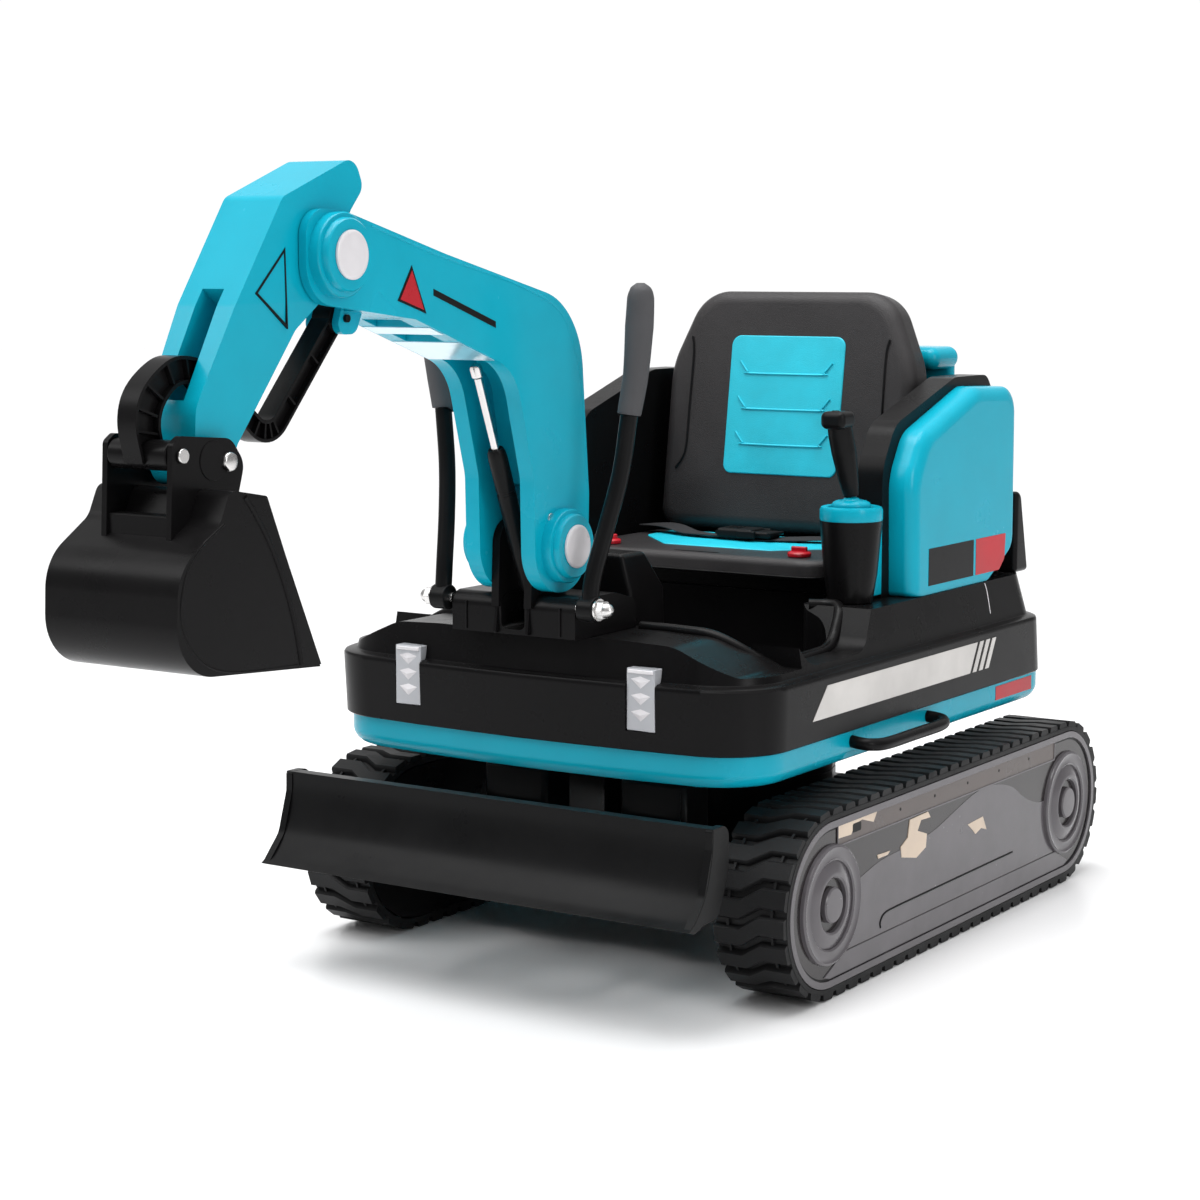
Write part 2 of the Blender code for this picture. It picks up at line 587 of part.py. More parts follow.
def seat():
    """The moulded seat: base with skirt, back, and the two turn knobs that hold it down."""
    half = SEAT_HALF_WIDTH
    cushion = slab("seat_base", filleted([(-half, SEAT_FRONT, 0.035), (half, SEAT_FRONT, 0.035), (half, SEAT_DEPTH, 0.01),
                                          (-half, SEAT_DEPTH, 0.01)], 5), "XY", SEAT_TOP - SEAT_LIP, SEAT_TOP)
    plinth = block("plinth", (-half + 0.012, 0.004, SILL + GAP), (half - 0.012, SEAT_DEPTH - 0.005, SEAT_TOP - 0.008))
    base = joined(softened(cushion, 0.007, 2, 50), plinth)
    bottom = SEAT_TOP + 0.006
    outline = filleted([(-BACK_HALF_WIDTH, bottom, 0.02), (BACK_HALF_WIDTH, bottom, 0.02),
                        (BACK_HALF_WIDTH, 0.600, 0.10), (0.122, BACK_TOP, 0.050), (-0.122, BACK_TOP, 0.050),
                        (-BACK_HALF_WIDTH, 0.600, 0.10)], 5)
    back = softened(slab("seat_back", outline, "XZ", 0.0, BACK_THICKNESS), 0.014, 3, 50)
    back.data.transform(Matrix.Translation((0, 0.150, bottom)) @ Matrix.Rotation(-BACK_RECLINE, 4, "X")
                        @ Matrix.Translation((0, 0, -bottom)))
    paint(base, LEATHER)
    paint(back, LEATHER)
    for side, sign in SIDES:
        place = (sign * KNOB[0], KNOB[1], SEAT_TOP + GAP)
        knob = turned(f"seat_knob_{side}", [(0, 0), (0.0125, 0), (0.0125, 0.004), (0.010, 0.0075), (0, 0.0075)], place)
        knob = joined(knob, block("grip", (place[0] - 0.009, place[1] - 0.002, place[2] + 0.005),
                                  (place[0] + 0.009, place[1] + 0.002, place[2] + 0.0105)))
        carried(axis_empty(f"axis_seat_knob_{side}", place), paint(knob, RED))


def lap_belt():
    """The lap strap lying across the seat, and its buckle on top of it."""
    route = smooth_path([Vector(p) for p in ((-0.158, 0.128, 0.006), (-0.120, 0.116, 0.006), (-0.080, 0.098, 0.003),
                                              (-0.035, 0.092, 0.001), (0.010, 0.094, 0.001), (0.055, 0.102, 0.001),
                                              (0.100, 0.118, 0.004), (0.150, 0.130, 0.006))], 2)
    rings = []
    for i, point in enumerate(route):
        along = (route[min(i + 1, len(route) - 1)] - route[max(i - 1, 0)]).normalized()
        across = Vector((-along.y, along.x, 0)).normalized() * 0.0125
        up = Vector((0, 0, 0.0008))
        middle = point + Vector((0, 0, SEAT_TOP + GAP + 0.0010))
        rings.append([middle - across - up, middle + across - up, middle + across + up, middle - across + up])
    paint(loft("lap_strap", rings), BLACK)
    buckle = softened(block("belt_buckle", (-0.034, 0.072, SEAT_TOP + 0.0040), (0.034, 0.114, SEAT_TOP + 0.0150)), 0.003, 2)
    paint(buckle, DARK)


def console_and_joystick():
    """A cup-shaped console, the gimbal collar in it, and the joystick in the collar; then the other side's."""
    x, y = CONSOLE
    foot = SILL + GAP
    cup = turned("console_left", [(0.0, foot), (0.023, foot), (0.0275, foot + 0.030), (CONSOLE_RADIUS, CONSOLE_TOP - 0.012),
                                  (CONSOLE_RADIUS, CONSOLE_TOP), (0.0225, CONSOLE_TOP), (0.0225, CONSOLE_TOP - 0.018),
                                  (0.0, CONSOLE_TOP - 0.018)], (x, y, 0), "Z", 24)
    neck = softened(block("neck", (x - 0.015, y + 0.024, foot), (x + 0.011, 0.0055, CONSOLE_TOP - 0.012)), 0.003, 1)
    paint(cup, BLACK)
    pivot_z = CONSOLE_TOP - 0.002
    collar = turned("joystick_collar_left", [(0.0, pivot_z - 0.012), (0.010, pivot_z - 0.012), (0.0180, pivot_z - 0.006),
                                             (0.0200, pivot_z + 0.001), (0.0150, pivot_z + 0.0030), (0.0118, pivot_z + 0.0040),
                                             (0.0100, pivot_z + 0.0075), (0.0072, pivot_z + 0.0102),
                                             (0.0038, pivot_z + 0.0119), (0.0, pivot_z + 0.0125)], (x, y, 0), "Z", 16)
    paint(collar, TURQUOISE)
    bottom = pivot_z + 0.0125 + GAP
    stick = tube("joystick_left", [(x, y, bottom), (x - 0.002, y - 0.004, bottom + 0.018),
                                   (x - 0.004, y - 0.010, bottom + 0.045), (x - 0.006, y - 0.018, bottom + 0.078)],
                 0.0105, 4, 3, [0.75, 0.95, 1.15, 1.0])
    head = softened(block("head", (x - 0.020, y - 0.036, bottom + 0.070), (x + 0.008, y - 0.006, bottom + 0.089)), 0.006, 2)
    stick = paint(joined(stick, head), DARK)
    console = joined(cup, neck)
    console = paint(console, BLACK)
    pieces = {"console": console, "joystick_collar": collar, "joystick": stick}
    for side, sign in SIDES:
        if sign < 0:
            pieces = {kind: mirrored(obj, f"{kind}_right") for kind, obj in pieces.items()}
        gimbal = axis_empty(f"axis_joystick_pitch_{side}", (sign * x, y, pivot_z))
        roll = axis_empty(f"axis_joystick_roll_{side}", (sign * x, y, pivot_z))
        carried(gimbal, pieces["joystick_collar"], roll)
        carried(roll, pieces["joystick"])


def travel_levers():
    """The two tall travel levers, each on a pin at the side of the boom bracket."""
    y, z = LEVER_PIVOT
    route = [(LEVER_X, y, z), (LEVER_X + 0.001, y + 0.004, z + 0.030), (LEVER_X + 0.008, y + 0.018, z + 0.080),
             (LEVER_X + 0.016, y + 0.030, z + 0.130), (LEVER_X + 0.023, y + 0.034, z + 0.186)]
    top = Vector(route[-1])
    bar = tube("lever_left", [Vector(p) for p in route], 0.0085, 3, 2)
    eye = rod("eye", "X", (0, y, z), 0.0125, LEVER_X - 0.009, LEVER_X + 0.009, 16)
    bore = rod("bore", "X", (0, y, z), 0.0050 + RUNNING, LEVER_X - 0.05, LEVER_X + 0.05, 16)
    bar = paint(cut(joined(bar, eye), bore), BLACK)
    along = (top - Vector(route[-2])).normalized()
    grip_route = [top + along * 0.0016, top + along * 0.040 + Vector((0.002, -0.002, 0)),
                  top + Vector((0.012, -0.001, 0.085)), top + Vector((0.016, -0.005, 0.118)),
                  top + Vector((0.0165, -0.006, 0.126))]
    grip = paint(tube("lever_grip_left", grip_route, 0.0130, 3, 3, [0.86, 0.95, 1.05, 0.98, 0.55]), RUBBER)
    pin = turned("lever_pin_left", [(0, -0.0137), (0.0050, -0.0137), (0.0050, 0.0102), (0.0095, 0.0102), (0.0095, 0.0165),
                                    (0.0060, 0.0200), (0.0030, 0.0265), (0, 0.0270)], (LEVER_X, y, z), "X", 16)
    paint(pin, STEEL)
    for side, sign in SIDES:
        pair = (bar, grip)
        if sign < 0:
            pair = (mirrored(bar, "lever_right"), mirrored(grip, "lever_grip_right"))
            mirrored(pin, "lever_pin_right")
        carried(axis_empty(f"axis_lever_{side}", (sign * LEVER_X, y, z)), *pair)


def trim():
    """Headlights, dash panel, battery and step handles."""
    for side, sign in SIDES:
        x = sign * HEADLIGHT_X
        low, high = (x - 0.016, LAMP_BACK - 0.018, 0.268), (x + 0.016, LAMP_BACK - GAP, 0.329)
        paint(softened(block(f"headlight_{side}", low, high), 0.002, 1), CLEAR)
    dash = loft("dash_panel", [[(x, y, z) for x, y in ((-half, front), (half, front), (half, rear), (-half, rear))]
                               for z, half, front, rear in ((FLOOR + GAP, 0.058, -0.2490, -0.175),
                                                            (0.385, 0.058, -0.2490, -0.182), (0.423, 0.048, -0.2490, -0.205))])
    paint(softened(dash, 0.004, 1), BLACK)
    paint(block("battery", (-0.075, 0.060, PAN_BOTTOM + WALL + GAP), (0.075, 0.170, 0.335)), DARK)
    pan_side = BODY_HALF_WIDTH - PAN_INSET
    loop = [(pan_side + 0.0012, -0.140, 0.236), (pan_side + 0.020, -0.138, 0.234), (pan_side + 0.027, -0.115, 0.233),
            (pan_side + 0.027, -0.055, 0.233), (pan_side + 0.027, 0.008, 0.233), (pan_side + 0.020, 0.030, 0.234),
            (pan_side + 0.0012, 0.032, 0.236)]
    handle = paint(tube("step_handle_left", loop, 0.0065, 3, 2), BLACK)
    mirrored(handle, "step_handle_right")


def boom_bracket():
    """The black foot of the arm on the front hump, with a slot for the strut and two ears for the boom."""
    y, z = BOOM_PIVOT
    foot = HUMP_TOP + GAP
    profile = filleted([(-0.372, foot, 0), (-0.262, foot, 0), (-0.262, 0.382, 0.012), (-0.300, 0.392, 0.02),
                        (-0.372, 0.392, 0.012)], 3)
    housing = slab("boom_bracket", profile, "YZ", -0.0735, 0.0735)
    slot = block("slot", (-0.0140, -0.40, foot + 0.006), (0.0140, -0.300, 0.45))
    housing = cut(softened(housing, 0.004, 1, 60), slot)
    ear = filleted([(y - 0.030, 0.380, 0), (y + 0.034, 0.380, 0), (y + 0.026, z + 0.024, 0.024),
                    (y - 0.026, z + 0.024, 0.024)], 4)
    parts = []
    for _, sign in SIDES:
        parts.append(slab("ear", ear, "YZ", *sorted((sign * EAR[0], sign * EAR[1]))))
        parts.append(rod("trunnion", "X", (0, y, z), 0.0120, *sorted((sign * (EAR[0] + 0.002), sign * (BOOM_HALF + 0.0080))), 20))
    return paint(joined(housing, *parts), BLACK)


# ---------------------------------------------------------------- arm
def boom():
    """The boom: a bent box, forked for the dipper at its tip and open underneath for the strut."""
    ty, tz = DIPPER_PIVOT
    by, bz = BOOM_PIVOT
    profile = filleted([(ty - 0.0395, tz + 0.0400, 0.036), (ty - 0.0395, tz - 0.0395, 0.036), (-0.578, 0.6650, 0),
                        (-0.424, 0.6150, 0.055), (-0.394, 0.510, 0), (by - 0.046, bz - 0.046, 0.044),
                        (by + 0.045, bz - 0.046, 0.044), (-0.298, 0.490, 0), (-0.314, 0.674, 0.082),
                        (-0.534, 0.7235, 0), (ty + 0.012, tz + 0.0375, 0.030)], 5)
    body = slab("boom", profile, "YZ", -BOOM_HALF, BOOM_HALF)
    hubs = [rod("hub", "X", (0, ty, tz), HUB_RADIUS, *sorted((sign * (FORK_HALF + 0.002), sign * HUB_FACE)), 20)
            for _, sign in SIDES]
    hubs += [rod("hub", "X", (0, by, bz), HUB_RADIUS, *sorted((sign * (BOOM_CHANNEL + 0.004), sign * HUB_FACE)), 20)
             for _, sign in SIDES]
    channel = slab("channel", filleted([(by + 0.060, bz - 0.080, 0), (by - 0.10, bz - 0.080, 0), (-0.480, 0.560, 0),
                                        (-0.480, 0.6200, 0), (-0.420, 0.6420, 0.02), (-0.372, 0.600, 0.04),
                                        (-0.352, 0.500, 0), (by + 0.060, bz + 0.046, 0.03)], 3),
                   "YZ", -BOOM_CHANNEL, BOOM_CHANNEL)
    fork = slab("fork", [(ty - 0.08, tz - 0.08), (ty + 0.030, tz - 0.08), *[(ty + FORK_RADIUS * math.cos(a), tz + FORK_RADIUS * math.sin(a))
                for a in (math.radians(d) for d in (-50, -25, 0, 25, 50))], (ty + 0.030, tz + 0.08), (ty - 0.08, tz + 0.08)],
                "YZ", -FORK_HALF, FORK_HALF)
    windows = []
    for y in (-0.566, -0.522):
        z = 0.6650 + (y + 0.578) * -0.325
        windows.append(block("window", (-0.022, y - 0.011, z - 0.03), (0.022, y + 0.011, z + 0.014)))
    py, pz = REAR_LINK_PIN
    pocket = rod("pocket", "X", (0, py, pz), 0.027, -LINK_HALF - 0.0022, LINK_HALF + 0.0022, 20)
    body = joined(cut(body, channel, fork, pocket, *windows), *hubs)
    lug = filleted([(py - 0.014, pz - 0.014, 0.012), (py + 0.014, pz - 0.014, 0.012), (py + 0.036, pz + 0.030, 0),
                    (py + 0.018, pz + 0.034, 0), (py - 0.004, pz + 0.014, 0.004)], 3)
    lugs = [slab("lug", lug, "YZ", *sorted((sign * (LINK_HALF + 0.0012), sign * (LINK_HALF + 0.0085)))) for _, sign in SIDES]
    body = joined(body, *lugs)
    bores = [rod("bore", "X", (0, by, bz), 0.0120 + RUNNING, -BOOM_HALF - 0.0090, BOOM_HALF + 0.0090, 20),
             rod("bore", "X", (0, ty, tz), 0.0075 + GAP, -HUB_FACE - 0.01, HUB_FACE + 0.01, 16),
             rod("bore", "X", (0, py, pz), 0.0035 + GAP, -0.03, 0.03, 12)]
    body = cut(body, *bores)
    return paint(body, TURQUOISE)


def arm_caps():
    """The pale discs on the boom's foot, and the dipper's pin with the same discs as its heads."""
    y, z = BOOM_PIVOT
    for side, sign in SIDES:
        low, high = sorted((sign * (HUB_FACE + GAP), sign * (HUB_FACE + 0.0035)))
        paint(rod(f"boom_cap_{side}", "X", (0, y, z), CAP_RADIUS, low, high, 24), PALE)
    y, z = DIPPER_PIVOT
    reach = HUB_FACE + 0.0035
    pin = turned("dipper_pin", [(0, -reach), (CAP_RADIUS, -reach), (CAP_RADIUS, -HUB_FACE - GAP),
                                (0.0075, -HUB_FACE - GAP), (0.0075, HUB_FACE + GAP), (CAP_RADIUS, HUB_FACE + GAP),
                                (CAP_RADIUS, reach), (0, reach)], (0, y, z), "X", 24)
    paint(pin, PALE)


def dipper():
    """The dipper: a tapering box with a fin at its head and a slot through it for the two links."""
    y, z = DIPPER_PIVOT
    ky, kz = BUCKET_PIVOT
    profile = filleted([(-0.748, 0.770, 0.010), (-0.652, 0.8070, 0.020), (-0.640, 0.780, 0.012), (-0.6600, 0.758, 0.010),
                        (y + 0.034, z - 0.002, 0.014), (y - 0.010, z - 0.040, 0.02), (-0.7320, 0.659, 0),
                        (ky + 0.026, kz + 0.012, 0.02), (ky + 0.012, kz - 0.024, 0.016), (ky - 0.026, kz - 0.018, 0.018),
                        (ky - 0.026, kz + 0.045, 0.03), (-0.8100, 0.680, 0)], 4)
    body = slab("dipper", profile, "YZ", -DIPPER_HALF, DIPPER_HALF)
    bm = bmesh.new()
    bm.from_mesh(body.data)
    for vertex in bm.verts:
        share = min(1.0, max(0.0, (0.690 - vertex.co.z) / 0.160))
        vertex.co.x *= 1.0 - 0.26 * share
    bpy.data.objects.remove(body)
    body = object_from(bm, "dipper")
    along = (Vector((ky, kz)) - Vector((y, z))).normalized()
    normal = Vector((along.y, -along.x))
    corners = []
    for length, side in ((0.092, -0.12), (0.092, 0.12), (0.194, 0.12), (0.194, -0.12)):
        point = Vector((y, z)) + along * length + normal * side
        corners.append((point.x, point.y))
    slot = slab("slot", corners, "YZ", -LINK_HALF - 0.0018, LINK_HALF + 0.0018)
    bores = [rod("bore", "X", (0, y, z), 0.0075 + RUNNING, -0.1, 0.1, 16), rod("bore", "X", (0, ky, kz), 0.0060 + RUNNING, -0.1, 0.1, 16)]
    return paint(cut(body, slot, *bores), TURQUOISE)


def bucket_profile(grow=0.0):
    """The bucket's side view, from its mouth's top corner round the back to the lip."""
    corners = [(-0.8210, 0.5270, 0.004), (-0.8660, 0.5350, 0.010), (-0.8790, 0.5080, 0.020), (-0.9290, 0.4760, 0.045),
               (-0.9330, 0.3900, 0.070), (-0.7560, 0.3780, 0)]
    middle = Vector((-0.862, 0.450))
    out = []
    for y, z, radius in corners:
        point = Vector((y, z))
        away = (point - middle).normalized() * grow
        out.append((y + away.x, z + away.y, radius))
    return filleted(out, 6)


def bucket():
    """The digging bucket with its hinge bracket, pin, and the lip of its mouth."""
    ky, kz = BUCKET_PIVOT
    shell = slab("bucket", bucket_profile(), "YZ", -BUCKET_HALF, BUCKET_HALF)
    inside = bucket_profile(-BUCKET_WALL * 1.25)
    mouth = Vector((0.05, 0.02))
    opened = [(p + mouth) if i in (0, 1, 2, 3, 4, 5, 6, len(inside) - 1) and p.x > -0.84 else p for i, p in enumerate(inside)]
    cavity = slab("cavity", opened, "YZ", -BUCKET_HALF + BUCKET_WALL, BUCKET_HALF - BUCKET_WALL)
    shell = paint(cut(shell, cavity), BLACK)
    rib = filleted([(-0.8950, 0.5720, 0.006), (-0.8860, 0.5780, 0.006), (ky + 0.004, kz + 0.019, 0.016),
                    (ky + 0.020, kz - 0.002, 0.016), (ky + 0.010, 0.520, 0), (-0.8650, 0.500, 0), (-0.9000, 0.476, 0),
                    (-0.8990, 0.500, 0)], 3)
    outer = 0.0380
    ribs = [slab("rib", rib, "YZ", *sorted((sign * 0.0325, sign * outer))) for _, sign in SIDES]
    bracket = joined(block("bucket_bracket", (-0.034, -0.8950, 0.5080), (0.034, -0.8700, 0.5140)), *ribs)
    trimmer = slab("trimmer", bucket_profile(GAP * 2), "YZ", -0.1, 0.1)
    bores = [rod("bore", "X", (0, ky, kz), 0.0060 + GAP, -0.1, 0.1, 16), rod("bore", "X", (0, *LINK_PIN), 0.0035 + GAP, -0.1, 0.1, 12)]
    bracket = paint(cut(bracket, trimmer, *bores), BLACK)
    reach = outer + GAP
    pin = turned("bucket_pin", [(0, -reach - 0.004), (0.0085, -reach - 0.004), (0.0085, -reach), (0.0060, -reach),
                                (0.0060, reach), (0.0085, reach), (0.0085, reach + 0.004), (0, reach + 0.004)],
                 (0, ky, kz), "X", 16)
    paint(pin, STEEL)
    return shell, bracket, pin


def links():
    """The arched link from the bucket bracket into the dipper's slot, and the bent link from the boom into it."""
    qy, qz = LINK_PIN
    outer = [(qy - 0.014, qz - 0.006), (-0.9065, 0.590), (-0.8960, 0.617), (-0.8640, 0.6380), (-0.8340, 0.6380), (-0.8140, 0.6270)]
    inner = [(-0.8200, 0.6090), (-0.8330, 0.6180), (-0.8560, 0.6170), (-0.8730, 0.6030), (-0.8790, 0.5840), (qy + 0.014, qz - 0.004)]
    arch = slab("arch_link", [tuple(p) for p in outer + inner], "YZ", -LINK_HALF, LINK_HALF)
    arch = joined(arch, rod("eye", "X", (0, qy, qz), 0.0125, -0.0315, 0.0315, 16))
    arch = joined(arch, rod("pin", "X", (0, qy, qz), 0.0035, -0.0415, 0.0415, 12))
    paint(arch, BLACK)
    py, pz = REAR_LINK_PIN
    bar = filleted([(py - 0.0077, pz + 0.0092, 0), (-0.7478, 0.5813, 0.012), (-0.7796, 0.6052, 0.004), (-0.7904, 0.5908, 0.004),
                    (-0.7422, 0.5547, 0.026), (py + 0.0077, pz - 0.0092, 0), (py + 0.0180, pz + 0.0010, 0.008),
                    (py + 0.0030, pz + 0.0190, 0.008)], 3)
    link = slab("rear_link", bar, "YZ", -LINK_HALF, LINK_HALF)
    link = paint(joined(link, rod("pin", "X", (0, py, pz), 0.0035, -0.0215, 0.0215, 12)), BLACK)
    return arch, link


def strut():
    """The gas strut: a cylinder on the bracket's slot floor and a rod to the boom."""
    foot, head = Vector((0, *STRUT_FOOT)), Vector((0, *STRUT_HEAD))
    along = (head - foot).normalized()
    turn = AXES["Z"].rotation_difference(along).to_matrix().to_4x4()
    whole = (head - foot).length
    cylinder = turned("strut_cylinder", [(0, 0.006), (0.0055, 0.006), (0.0060, 0.020), (STRUT_RADIUS, 0.026),
                                         (STRUT_RADIUS, 0.170), (0.0075, 0.176), (ROD_RADIUS + RUNNING, 0.176),
                                         (ROD_RADIUS + RUNNING, 0.060), (0, 0.060)], (0, 0, 0), "Z", 16)
    piston = turned("strut_rod", [(0, 0.066 + 0.030), (ROD_RADIUS, 0.066 + 0.030), (ROD_RADIUS, whole - 0.012), (0.0062, whole - 0.010),
                                  (0.0062, whole), (0, whole + 0.002)], (0, 0, 0), "Z", 12)
    for piece, colour in ((cylinder, BLACK), (piston, STEEL)):
        piece.data.transform(Matrix.Translation(foot) @ turn)
        paint(piece, colour)
    return cylinder, piston


def arm():
    """The whole arm on its chain of axes."""
    main = boom()
    arm_caps()
    stick = dipper()
    shell, bracket, pin = bucket()
    arch, rear = links()
    cylinder, piston = strut()
    nodes = bpy.data.objects
    boom_axis = axis_empty("axis_boom", (0, *BOOM_PIVOT))
    dipper_axis = axis_empty("axis_dipper", (0, *DIPPER_PIVOT))
    bucket_axis = axis_empty("axis_bucket", (0, *BUCKET_PIVOT))
    arch_axis = axis_empty("axis_arch_link", (0, *LINK_PIN))
    rear_axis = axis_empty("axis_rear_link", (0, *REAR_LINK_PIN))
    strut_axis = axis_empty("axis_strut", (0, *STRUT_FOOT))
    carried(boom_axis, main, nodes["boom_cap_left"], nodes["boom_cap_right"], nodes["dipper_pin"], dipper_axis, rear_axis)
    carried(dipper_axis, stick, bucket_axis)
    carried(bucket_axis, shell, bracket, pin, arch_axis)
    carried(arch_axis, arch)
    carried(rear_axis, rear)
    carried(strut_axis, cylinder, piston)


def stand_on_origin():
    """Moves everything so that the footprint's centre is the origin, and smooths the round faces."""
    bpy.context.view_layer.update()
    nodes = [obj for obj in bpy.data.objects if obj.type == "MESH"]
    corners = [obj.matrix_world @ Vector(corner) for obj in nodes for corner in obj.bound_box]
    middle = [(min(c[i] for c in corners) + max(c[i] for c in corners)) / 2 for i in range(2)]
    for obj in bpy.data.objects:
        if obj.parent is None:
            obj.location -= Vector((*middle, min(c.z for c in corners)))
    group = bpy.data.collections.new("ride_on_digger")
    bpy.context.scene.collection.children.link(group)
    for obj in list(bpy.data.objects):
        for collection in list(obj.users_collection):
            collection.objects.unlink(obj)
        group.objects.link(obj)
        if obj.type == "MESH":
            obj.data.shade_smooth()
            obj.data.set_sharp_from_angle(angle=math.radians(32))


def main():
    clear_scene()
    undercarriage()
    blade()
    body_shell()
    base_pan()
    seat_surround()
    hood = side_hood()
    mirrored(hood, "side_hood_right")
    rear_pieces()
    seat()
    lap_belt()
    console_and_joystick()
    travel_levers()
    trim()
    boom_bracket()
    arm()
    upper = axis_empty("axis_slew", (0, SLEW_Y, SLEW_RING_TOP))
    fixed = ("chassis", "slew_ring", "track", "drive_motor", "axis_idler", "axis_sprocket", "axis_blade", "axis_slew")
    carried(upper, *[obj for obj in bpy.data.objects if obj.parent is None and not obj.name.startswith(fixed)])
    upper.location.z += LIFT
    stand_on_origin()


main()
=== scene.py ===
"""A ride-on digger's looks: finer pieces, materials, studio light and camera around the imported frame.

Pieces are laid out about the middle plane X = 0 with the front hubs at Y = -0.250, then moved by SHIFT to the
frame's own origin.
"""

import json
import math

import bmesh
import bpy
from mathutils import Matrix, Vector


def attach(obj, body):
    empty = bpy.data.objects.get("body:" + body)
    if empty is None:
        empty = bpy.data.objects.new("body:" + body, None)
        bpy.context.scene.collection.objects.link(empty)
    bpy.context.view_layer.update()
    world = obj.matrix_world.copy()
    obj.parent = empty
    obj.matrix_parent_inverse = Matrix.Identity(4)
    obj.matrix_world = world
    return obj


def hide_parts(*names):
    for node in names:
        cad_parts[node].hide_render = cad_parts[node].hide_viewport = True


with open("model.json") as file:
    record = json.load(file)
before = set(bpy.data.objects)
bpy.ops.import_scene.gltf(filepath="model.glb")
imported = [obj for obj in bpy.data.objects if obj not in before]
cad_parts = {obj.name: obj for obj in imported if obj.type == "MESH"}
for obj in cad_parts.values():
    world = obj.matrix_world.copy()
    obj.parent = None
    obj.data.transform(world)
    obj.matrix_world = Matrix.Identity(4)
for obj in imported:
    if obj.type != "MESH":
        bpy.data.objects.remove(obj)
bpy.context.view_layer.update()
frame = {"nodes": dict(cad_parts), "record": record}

SHIFT = 0.255536
GAP = 0.0004
FRONT_HUB_Y, WHEELBASE = -0.25, 0.575
REAR_HUB_Y = FRONT_HUB_Y + WHEELBASE
BELT_RADIUS, LUG_HEIGHT, BAND_THICKNESS = 0.095, 0.0065, 0.005
TRACK_INNER_X, TRACK_WIDTH = 0.2135, 0.078
PAN_BOTTOM, PAN_TOP, BELT_LINE, DECK, SILL = 0.215, 0.248, 0.312, 0.3225, 0.3625
BODY_HALF_WIDTH, BODY_FRONT, BODY_REAR, WALL = 0.262, -0.366, 0.35, 0.005
HUMP_TOP, FOOTWELL_HALF_WIDTH, FOOTWELL_FRONT, FOOTWELL_REAR, FLOOR = 0.3525, 0.207, -0.25, -0.006, 0.268
ARMREST_X, HOOD_OUTER_X, SURROUND_REAR = (0.181, 0.211), 0.241, 0.286
SEAT_HALF_WIDTH, SEAT_TOP, SEAT_DEPTH, SEAT_FRONT = 0.166, 0.403, 0.165, -0.036
PAN_INSET = 0.007
BACK_HALF_WIDTH, BACK_TOP, BACK_THICKNESS, BACK_RECLINE = 0.16, 0.687, 0.045, math.radians(8)
CONSOLE, CONSOLE_TOP = (0.1985, -0.04), 0.464
LEVER_X, LEVER_PIVOT = 0.088, (-0.368, 0.384)
BOOM_PIVOT, BOOM_HALF, HUB_RADIUS, HUB_FACE = (-0.345, 0.441), 0.041, 0.0365, 0.0575
DIPPER_PIVOT, DIPPER_HALF, FORK_RADIUS = (-0.69, 0.722), 0.032, 0.06
BUCKET_PIVOT, BUCKET_HALF, BUCKET_WALL = (-0.829, 0.554), 0.072, 0.004
LINK_PIN, LINK_HALF, REAR_LINK_PIN = (-0.885, 0.562), 0.01, (-0.65, 0.667)
STRUT_FOOT, STRUT_HEAD = (-0.334, 0.374), (-0.432, 0.618)
TRACK_OUTER_X = TRACK_INNER_X + TRACK_WIDTH
LUG_PITCH, BLADE_HALF_WIDTH = 0.0262, 0.2555
HEADLIGHT_X, LAMP_BACK = 0.14, -0.3405
UNDERSIDE, UNDERSIDE_SLOPE = (-0.578, 0.665), -0.325
MARK_DEPTH = 0.0006
CAMERA_PLACE = (1.4413, -2.421 + SHIFT, 0.7154)
CAMERA_PITCH, CAMERA_TURN = math.radians(90 - 7.471), math.radians(33.163)
LENS_MM, SENSOR_MM = 77.19, 36.0
AXES = {"X": Vector((1, 0, 0)), "Y": Vector((0, 1, 0)), "Z": Vector((0, 0, 1))}
SIDES = (("left", 1), ("right", -1))


def span(sign, near, far):
    """The low and high of a stretch on one side of the middle plane."""
    return sorted((sign * near, sign * far))


def towards_side(sign):
    """Turns a profile's own Z onto X, pointing out on one side."""
    return Matrix(((0, 0, sign, 0), (1, 0, 0, 0), (0, 1, 0, 0), (0, 0, 0, 1)))


def mark_span(sign, at, rise):
    """The low and high of a mark let into a side face at X = at, and standing out from it by rise."""
    return sorted((at - sign * MARK_DEPTH, at + sign * rise))


# ---------------------------------------------------------------- modelling tools
def linked(name, data):
    """A new object of this data, in the scene."""
    obj = bpy.data.objects.new(name, data)
    bpy.context.scene.collection.objects.link(obj)
    return obj


def mesh_object(bm, name):
    mesh = bpy.data.meshes.new(name)
    bm.to_mesh(mesh)
    bm.free()
    return linked(name, mesh)


def object_from(bm, name):
    bmesh.ops.remove_doubles(bm, verts=bm.verts, dist=1e-6)
    bmesh.ops.recalc_face_normals(bm, faces=bm.faces)
    if bm.calc_volume(signed=True) < 0:
        bmesh.ops.reverse_faces(bm, faces=bm.faces)
    return mesh_object(bm, name)


def bake(obj):
    bpy.context.view_layer.update()
    mesh = bpy.data.meshes.new_from_object(obj.evaluated_get(bpy.context.evaluated_depsgraph_get()))
    mesh.transform(obj.matrix_world)
    bm = bmesh.new()
    bm.from_mesh(mesh)
    name = obj.name
    bpy.data.objects.remove(obj)
    bpy.data.meshes.remove(mesh)
    return object_from(bm, name)


